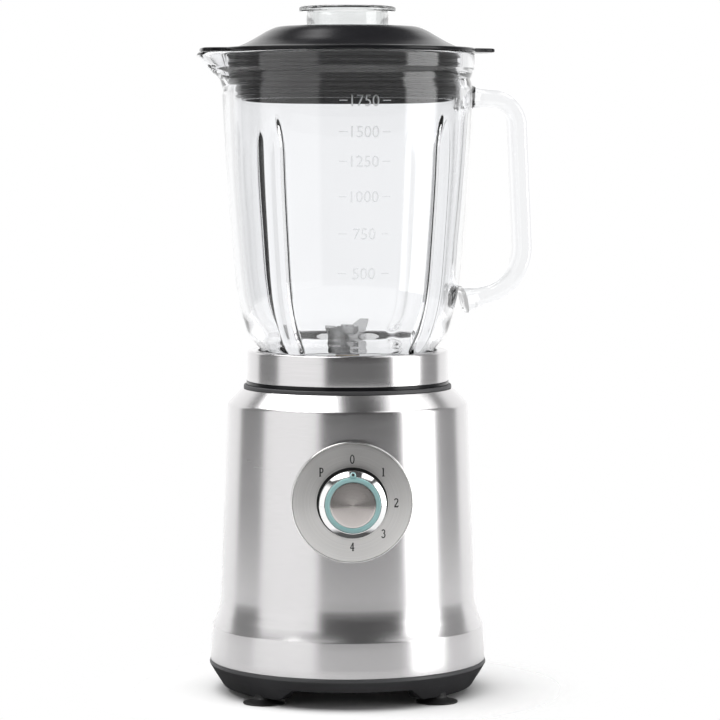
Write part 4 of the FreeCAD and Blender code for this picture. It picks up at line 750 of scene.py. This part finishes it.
def jar_seat():
    """Seat plate: a rounded rim over the housing's mouth and a well with a flat floor."""
    rim, _, top = span("jar_seat")[1]
    floor_of_well = top - SEAT_DEPTH
    under = floor_of_well - 2.5
    outline = rounded([
        (8.0, under), (53.5, under), (53.5, HOUSING_TOP), (rim, HOUSING_TOP + 0.05, 0.3),
        (rim, top, 0.9), (51.0, top, 0.8), (51.0, floor_of_well, 1.0), (8.0, floor_of_well),
    ])
    lathe("seat_plate", refine(outline, 8.0), "base", DARK, ["jar_seat"], 192)
    foot_of_lug, head_of_lug = floor_of_well - 0.5, floor_of_well + LUG_HEIGHT
    for i in range(LUGS):
        lug, faces = rounded_block(47.0, 51.6, -LUG_HALF, LUG_HALF, foot_of_lug, head_of_lug, 0.8)
        points = turned(lug, JAR_TURN + i * TURN / LUGS)
        piece(f"seat_lug_{i + 1}", points, faces, "base", DARK)


def rounded_block(x0, x1, y0, y1, z0, z1, bevel):
    """Corners and faces of a block whose edges are cut back by bevel, as an array and index lists."""
    work = bmesh.new()
    bmesh.ops.create_cube(work, size=1.0)
    scale = Vector((x1 - x0, y1 - y0, z1 - z0))
    middle = Vector((x0 + x1, y0 + y1, z0 + z1)) / 2
    for vertex in work.verts:
        vertex.co = Vector(a * b for a, b in zip(vertex.co, scale)) + middle
    bmesh.ops.bevel(work, geom=work.edges, offset=bevel, segments=3, profile=0.5, affect="EDGES")
    points = np.array([v.co[:] for v in work.verts])
    work.verts.index_update()
    faces = [[v.index for v in f.verts] for f in work.faces]
    work.free()
    return points, faces


def jar_collar():
    """Steel sleeve: a straight side, a rolled top edge and a flat lip round the glass."""
    low, high = span("jar_collar")
    radius, bottom, top = high[0], low[2], high[2]
    mouth = 52.6
    outline = rounded([
        (radius, bottom, 0.35), (radius - 0.2, top, 1.4), (mouth, top, 0.3), (mouth, top - 0.9),
        (radius - 1.2, top - 1.2), (radius - 1, bottom),
    ])
    lathe("collar_sleeve", refine(outline, 4.0), "jar", STEEL_COLLAR, ["jar_collar"], 256)


# ---- glass jug ----

JUG_LOW, JUG_HIGH = span("jug_glass")
FOOT, RIM = JUG_LOW[2], JUG_HIGH[2]
JUG_STEPS = 288
JUG_SMOOTH = 50                   # edges of the glass sharper than this stay sharp, in degrees
RIB_TOP, RIB_FADE = 36.0, 20.0    # a rib's tip below the rim, and the length over which it runs out
RIB_FOOT, RIB_FOOT_FADE = 6.0, 14.0
RIB_HEIGHT = 6.3
LIP_WIDTH = 0.225                 # half angle of the spout, in radians


def jug_wall(z):
    """Outer radius of the plain wall at a height."""
    heights = FOOT + np.array([0, 9, 14, 19, 22, 27, 33, 43, 60, 84, 108, 135, 160, 170])
    radii = [51.0, 51.0, 54.6, 57.9, 59.4, 61.4, 62.9, 64.9, 66.7, 68.8, 70.4, 71.9, 73.0, 71.7]
    return np.interp(z, heights, radii)


def polar(points):
    """Distance from the axis, angle and height of every point."""
    x, y, z = points[..., 0], points[..., 1], points[..., 2]
    return np.hypot(x, y), np.arctan2(y, x), z


def on_jar(radius, angle, z):
    """Points from distance, angle and height, turned as the jug stands."""
    return turned(np.stack([radius * np.cos(angle), radius * np.sin(angle), z], axis=-1), JAR_TURN)


def jug_shape(points):
    """Moves a turned jug. The spout leans out at the rim by reach exp(-(a / w)^2.4) h^1.9, and four ribs with
    the profile exp(-(d / w)^3.2) stand in from the inner wall."""
    radius, angle, z = polar(points)
    inside = np.zeros(points.shape[:2], bool)
    inside[INNER_FROM:] = True
    away = np.abs(np.angle(np.exp(1j * (angle - math.pi))))
    lip = np.exp(-(away / LIP_WIDTH) ** 2.4)
    drop = np.where(inside, 19.0, 23.0)
    flare = np.clip((z - (RIM - drop)) / (drop - 5.5), 0, 1) ** 1.9
    reach = np.where(inside, 16.5, 13.8)
    radius = radius + reach * lip * flare
    near = np.abs(np.angle(np.exp(4j * (angle - math.pi / 4)))) / 4 * radius
    top = ease((RIM - RIB_TOP - z) / RIB_FADE) ** 0.75
    bottom = ease((z - FOOT - RIB_FOOT) / RIB_FOOT_FADE)
    rib = np.exp(-(near / (2.2 + 1.6 * top)) ** 3.2) * top * bottom
    return on_jar(radius - np.where(inside, RIB_HEIGHT * rib, 0.0), angle, z)


def smooth_line(points, steps):
    """Catmull-Rom curve through points: each span is the cubic set by its ends and their neighbours."""
    p = np.asarray(points, float)
    p = np.concatenate([2 * p[:1] - p[1:2], p, 2 * p[-1:] - p[-2:-1]])
    t = np.arange(steps)[:, None] / steps
    out = []
    for a, b, c, d in zip(p[:-3], p[1:-2], p[2:-1], p[3:]):
        out.append(0.5 * (2 * b + (c - a) * t + (2 * a - 5 * b + 4 * c - d) * t ** 2
                          + (3 * b - a - 3 * c + d) * t ** 3))
    return np.concatenate([*out, p[-2:-1]])


outer_side = smooth_line([
    (51.0, FOOT + 4), (51.3, FOOT + 9), (54.3, FOOT + 13), (57.2, FOOT + 17), (59.3, FOOT + 21.2),
    (61.0, FOOT + 26.8), (63.4, FOOT + 36), (65.2, FOOT + 46), (67.0, FOOT + 64), (70.3, FOOT + 108),
    (72.2, FOOT + 140), (73.0, FOOT + 158), (72.6, FOOT + 163), (71.8, FOOT + 167),
], 7)
rim_line = rounded([
    (71.8, RIM - 12.5), (74.2, RIM - 9.0, 2.0), (74.3, RIM, 1.7), (66.8, RIM, 1.2), (66.6, RIM - 20),
], 7)[1:-1]
inner_side = smooth_line([
    (66.5, RIM - 18), (66.7, RIM - 34), (65.3, FOOT + 108), (61.8, FOOT + 64), (59.8, FOOT + 46),
    (57.4, FOOT + 34), (54.0, FOOT + 24), (50.0, FOOT + 17), (46.6, FOOT + 11), (45.6, FOOT + 5),
], 8)
foot_line = rounded([(45.5, FOOT + 5), (45.5, FOOT, 0.6), (51.0, FOOT, 0.6), (51.0, FOOT + 4)])[1:-1]
jug_outline = np.concatenate([outer_side, rim_line, inner_side, foot_line])
INNER_FROM = len(outer_side) + len(rim_line) - 5


def swept(route, across, thick, scale, steps=40, power=2.7):
    """Bar along a route in the XZ plane. Its section is the superellipse |u|^p + |v|^p = 1, across wide in Y
    and thick in the plane, times scale at each point of the route."""
    tangent = np.gradient(route, axis=0)
    tangent /= np.linalg.norm(tangent, axis=1)[:, None]
    normal = np.stack([-tangent[:, 1], tangent[:, 0]], axis=1)
    turn = np.arange(steps) / steps * TURN
    u = np.sign(np.cos(turn)) * np.abs(np.cos(turn)) ** (2 / power) * across / 2
    v = np.sign(np.sin(turn)) * np.abs(np.sin(turn)) ** (2 / power) * thick / 2
    x = route[:, :1] + normal[:, :1] * v * scale[:, None]
    z = route[:, 1:] + normal[:, 1:] * v * scale[:, None]
    y = u[None, :] * scale[:, None]
    return np.stack([x, y + 0 * x, z], axis=2)


def jug():
    """Pressed glass jug: the wall and the handle are joined into one closed skin."""
    points = jug_shape(about_z(jug_outline, JUG_STEPS))
    faces = grid_faces(len(jug_outline), JUG_STEPS, True, True)
    wall = piece("jug_body_glass", points, faces, "jug", GLASS, ["jug_glass"], JUG_SMOOTH)
    root = 69.0
    route = refine(rounded([
        (root, FOOT + 37.7), (105.2, FOOT + 45.5, 29.0), (100.2, RIM - 27.4, 16.0), (69.6, RIM - 25.6),
    ], 24), 2.0, closed=False)
    from_ends = np.clip(np.minimum(route[:, 0] - root, 60) / 6.0, 0, None)
    scale = 1 + 0.42 * np.exp(-from_ends ** 1.6)
    bar = turned(swept(route, 21.0, 11.4, scale), JAR_TURN)
    faces = tube_faces(*bar.shape[:2])
    grip = piece("jug_handle_glass", bar, faces, "jug", GLASS, (), JUG_SMOOTH)
    join_solids(wall, grip)


def join_solids(first, second):
    """Unites two closed skins into the first, and removes the second."""
    union = first.modifiers.new("union", "BOOLEAN")
    union.operation = "UNION"
    union.solver = "EXACT"
    union.object = second
    bpy.context.view_layer.update()
    graph = bpy.context.evaluated_depsgraph_get()
    mesh = bpy.data.meshes.new_from_object(first.evaluated_get(graph))
    first.modifiers.clear()
    old = first.data
    first.data = mesh
    bpy.data.meshes.remove(old)
    bpy.data.objects.remove(second)
    first.data.set_sharp_from_angle(angle=math.radians(JUG_SMOOTH))


# Height of each volume mark above the jug's foot.
JUG_MARKS = {"1750": 153.5, "1500": 136.0, "1250": 119.4, "1000": 99.5, "750": 78.5, "500": 56.0}
NUMBER_HEIGHT = 6.5
DASH_AWAY = 12.4                  # from a number's middle to the middle of its dashes


def jug_scale():
    """Volume marks on the jug's front: a number between two dashes, wrapped onto the wall."""
    for words, height in JUG_MARKS.items():
        flat, faces = letters(words, NUMBER_HEIGHT, 0.97)
        wrap_on_jug(f"scale_{words}", flat, faces, FOOT + height)
        for word, side in (("left", -1), ("right", 1)):
            dash, faces = rounded_block(-2.35, 2.35, -0.25, 0.25, 0, 1, 0.05)
            wrap_on_jug(f"scale_{words}_dash_{word}", dash + [side * DASH_AWAY, 0, 0], faces, FOOT + height)


def wrap_on_jug(name, flat, faces, height):
    """Puts flat letters on the wall: x becomes an arc round it, y the height and depth the relief."""
    z = flat[:, 1] + height
    radius = jug_wall(z) + 0.16 * flat[:, 2] - 0.06
    points = on_jar(radius, flat[:, 0] / radius - math.pi / 2, z)
    piece(name, points, faces, "jug", SCALE)


# ---- lid and measuring cap ----

TAB_REACH, TAB_WIDTH = 11.4, 0.185    # how far a tab stands out, and its half angle in radians
LIP_COUNT = 8


def lid():
    """Lid: a low dome with a flat crown, a flange with two tabs, a plug below and a tube for the cap."""
    low, high = span("lid")
    plug_low, top = low[2], high[2]
    edge_low = RIM + 0.4
    edge = edge_low + 2.2
    dome = smooth_line([
        (66.2, edge + 0.2), (64.0, edge + 0.9), (58.0, edge + 3.6), (52.0, edge + 7.0), (46.0, edge + 10.4),
        (41.0, edge + 12.3), (35.0, top - 0.1), (30.0, top),
    ], 5)
    outline = np.concatenate([
        rounded([(62.0, edge_low), (74.8, edge_low, 0.7), (74.8, edge, 0.9), (66.2, edge + 0.2)])[:-1],
        dome,
        rounded([
            (30.0, top), (23.4, top, 0.6), (23.4, top - 10), (25.8, top - 10), (25.8, top - 2.4),
            (40.0, top - 2.4), (55.6, edge + 1.0), (59.6, edge - 1), (59.6, plug_low), (62.0, plug_low, 0.6),
            (62.0, edge_low),
        ])[1:-1],
    ])

    def tabs(points):
        """Pushes the flange out to the tabs: r grows by reach exp(-(a / width)^8) over its outer 9 mm."""
        radius, angle, z = polar(points)
        away = np.abs(np.angle(np.exp(2j * angle))) / 2
        outer = ease((radius - 66.0) / 8.8) * (z > edge_low - 1)
        return on_jar(radius + TAB_REACH * np.exp(-(away / TAB_WIDTH) ** 8) * outer, angle, z)

    lathe("lid_shell", refine(outline, 3.0), "lid", BLACK, ["lid"], 288, shape=tabs)


def lid_gasket():
    """Rubber sleeve with fine lips: the radius rises and falls eight times down its height."""
    low, high = span("lid_gasket")
    z = np.linspace(low[2], high[2], 150)
    wave = 0.5 + 0.5 * np.cos((z - low[2]) / (high[2] - low[2]) * TURN * LIP_COUNT)
    radius = 64.1 + 1.5 * wave ** 3 + 0.4 * (z > high[2] - 3)
    bore = [(62.0, high[2]), (62.0, low[2])]
    outline = np.concatenate([np.stack([radius, z], axis=1), bore])
    lathe("lid_gasket_rubber", outline, "lid", RUBBER, ["lid_gasket"], 192, 60)


def measuring_cap():
    """Clear cup: a rounded rim, a waist, a plug that tapers down and a rounded inside."""
    low, high = span("measuring_cap")
    bottom, top = low[2], high[2]
    outline = rounded([
        (0, bottom), (21.0, bottom, 1.2), (22.0, top - 11.6, 0.4), (23.9, top - 11.3, 0.5),
        (23.7, top - 3.3, 0.8), (28.2, top - 3.2, 0.9), (28.2, top - 0.4, 1.2), (25.4, top, 1.5),
        (21.6, top - 0.6, 2.0), (19.6, bottom + 2.5, 3.0), (0, bottom + 2.5),
    ])
    lathe("cap_cup", refine(outline, 2.5), "cap", CLEAR, ["measuring_cap"], 160, 50)


base_housing()
bottom_cover()
for foot in ("foot_front_left", "foot_front_right", "foot_rear_right", "foot_rear_left"):
    suction_foot(foot)
cord_gland()
dial_bezel()
dial_plate()
knob()
jar_seat()
jar_collar()
jug()
jug_scale()
lid()
lid_gasket()
measuring_cap()


# ---- floor, light and camera ----

# Bands of the room: degrees from the front, positive to the right, and their brightness.
ROOM_SCALE = 5.0
ROOM_BANDS = [
    (-180, -124, 1.22), (-124, -88, 0.28), (-88, -28, 1.28), (-28, 53, 0.075), (53, 87, 4.6),
    (87, 124, 0.36), (124, 180, 1.22),
]
# The same room as it shows through glass.
GLASS_BANDS = [
    (-180, -150, 0.97), (-150, -125, 0.80), (-125, -95, 0.22), (-95, -60, 0.85), (-60, 60, 0.72),
    (60, 95, 0.85), (95, 125, 0.22), (125, 150, 0.80), (150, 180, 0.97),
]
# The ceiling from left to right, as shares of its width, and from front to back.
CEILING_DARK = 0.10
CEILING_BANDS = [
    (0.00, 0.12), (0.02, 4.6), (0.42, 4.6), (0.46, 0.10), (0.68, 0.10), (0.72, 2.5), (0.98, 2.5),
    (1.0, 0.15),
]
CEILING_ROWS = [(0.28, 0), (0.32, 1), (0.72, 1), (0.78, 0)]
CEILING_FROM, CEILING_FULL = 0.45, 0.62    # height of a direction where the wall gives way to the ceiling
LOWEST = 0.05                              # keeps level directions from dividing by zero


def emitter(name, place, aim, width, height, power):
    """Rectangular soft box that points from place to aim."""
    light = bpy.data.lights.new(name, "AREA")
    light.shape = "RECTANGLE"
    light.size, light.size_y = width, height
    light.energy = power
    obj = in_scene(name, light)
    obj.location = place
    obj.rotation_euler = (Vector(aim) - Vector(place)).to_track_quat("-Z", "Y").to_euler()
    return obj


def grey_ramp(tree, source, stops, scale=1.0):
    """Grey ramp through (place, brightness) stops. Brightness is stored as a share of scale."""
    return ramp(tree, source, [(place, [bright / scale] * 3) for place, bright in stops])


def band_ramp(tree, around, bands, soft):
    """Grey ramp over a full turn through bands of (from, to, brightness), with edges soft degrees deep."""
    stops = []
    for low, high, bright in bands:
        stops += [((low + soft + 180) / 360, bright), ((high - soft + 180) / 360, bright)]
    return grey_ramp(tree, around, stops, ROOM_SCALE)


def studio_world():
    """The studio as the steel sees it: a white wall behind, a soft box at each side, a dim room in
    front, and two panels in a dark ceiling. Straight rays from the camera see plain white."""
    world = bpy.data.worlds.new("studio")
    bpy.context.scene.world = world
    world.use_nodes = True
    tree = world.node_tree
    background = tree.nodes["Background"]
    coord = tree.nodes.new("ShaderNodeTexCoord")
    parts = tree.nodes.new("ShaderNodeSeparateXYZ")
    tree.links.new(coord.outputs["Generated"], parts.inputs["Vector"])
    x, y, z = parts.outputs["X"], parts.outputs["Y"], parts.outputs["Z"]
    angle = angle_from_front(tree, x, y)
    around = math_node(tree, "MULTIPLY_ADD", angle, 1 / TURN, 0.5)
    room = band_ramp(tree, around, ROOM_BANDS, 2)
    height = math_node(tree, "MAXIMUM", z, LOWEST)
    across = math_node(tree, "DIVIDE", x, height)
    across = math_node(tree, "MULTIPLY_ADD", across, 0.5, 0.5)
    panels = grey_ramp(tree, across, CEILING_BANDS, ROOM_SCALE)
    depth = math_node(tree, "DIVIDE", y, height)
    near = math_node(tree, "SMOOTH_MIN", depth, 2.0, 0.0)
    along = math_node(tree, "MULTIPLY_ADD", near, 0.33, 0.5)
    rows = grey_ramp(tree, along, CEILING_ROWS)
    ceiling = blend(tree, rows, CEILING_DARK / ROOM_SCALE, panels)
    rise = ranged(tree, z, (CEILING_FROM, CEILING_FULL), (0.0, 1.0), smooth=True)
    whole = blend(tree, rise, room, ceiling)
    sight = tree.nodes.new("ShaderNodeLightPath")
    glass = band_ramp(tree, around, GLASS_BANDS, 1)
    through = blend(tree, sight.outputs["Is Transmission Ray"], whole, glass)
    seen = blend(tree, sight.outputs["Is Camera Ray"], through, 1 / ROOM_SCALE)
    tree.links.new(seen, background.inputs["Color"])
    background.inputs["Strength"].default_value = ROOM_SCALE


FLOOR_RADIUS = 900
FLOOR_DROP = 0.05                 # the floor's top lies this far under the feet
FLOOR_GREY = 0.58
FADE_FROM, FADE_TO = 0.075, 0.16  # distances from the axis, in metres, where the floor fades out
# distances from the axis, in metres, of the painted shadow on the floor that only glossy rays see
PAINTED_SHADOW_FROM, PAINTED_SHADOW_TO = 0.125, 0.150


def floor():
    """Pale table top. The camera sees it fade out close to the blender; the steel sees all of it, with a
    painted
    shadow close round the blender: a near-black base colour there that only glossy rays see."""
    rows, columns = 40, 96
    radius = np.linspace(0, 1, rows)[:, None] ** 1.5 * FLOOR_RADIUS
    turn = np.arange(columns) / columns * TURN
    flat = 0 * radius * turn - FLOOR_DROP
    points = np.stack([radius * np.cos(turn), radius * np.sin(turn), flat], axis=2).reshape(-1, 3)
    mesh = bpy.data.meshes.new("floor")
    mesh.from_pydata((points * MM).tolist(), [], grid_faces(rows, columns, False, True).tolist())
    obj = in_scene("floor", mesh)
    mat, tree, shader = new_finish("pale_floor")
    shader.inputs["Roughness"].default_value = 0.7
    shader.inputs["Specular IOR Level"].default_value = 0.1
    coord = tree.nodes.new("ShaderNodeTexCoord")
    away = vector_node(tree, "LENGTH", coord.outputs["Object"]).outputs["Value"]
    sight = tree.nodes.new("ShaderNodeLightPath")
    # painted shadow: close round the blender the base colour turns near black, for glossy rays only
    near = ranged(tree, away, (PAINTED_SHADOW_FROM, PAINTED_SHADOW_TO), (0.94, 0.0))
    painted_shadow = math_node(tree, "MULTIPLY", near, sight.outputs["Is Glossy Ray"])
    tree.links.new(blend(tree, painted_shadow, FLOOR_GREY, 0.02), shader.inputs["Base Color"])
    fade = ranged(tree, away, (FADE_FROM, FADE_TO), (1.0, 0.0), smooth=True)
    other = math_node(tree, "SUBTRACT", 1.0, sight.outputs["Is Camera Ray"])
    tree.links.new(math_node(tree, "MAXIMUM", other, fade), shader.inputs["Alpha"])
    mesh.materials.append(mat)


def camera():
    """Long lens, 4 degrees down, from 2 degrees to the left of the front."""
    distance, height, side, pitch = 1815.0, 321.0, math.radians(2.0), math.radians(4.0)
    place = Vector((-math.sin(side) * distance, -math.cos(side) * distance, height)) * MM
    heading = side + math.radians(0.231)      # aims a little to the right of the axis
    level = math.cos(pitch)
    ahead = Vector((math.sin(heading) * level, math.cos(heading) * level, -math.sin(pitch)))
    data = bpy.data.cameras.new("camera")
    data.lens = 155.0
    data.sensor_width = 36.0
    data.clip_end = 20.0
    obj = in_scene("camera", data)
    obj.location = place
    obj.rotation_euler = ahead.to_track_quat("-Z", "Y").to_euler()
    bpy.context.scene.camera = obj


studio_world()
floor()
overhead = emitter("overhead_softbox", (0, -0.3, 1.6), (0, 0, 0.1), 1.6, 1.6, 26)
overhead.visible_glossy = False
overhead.visible_transmission = False
camera()
bpy.context.scene.view_settings.view_transform = "Standard"

bpy.context.view_layer.update()
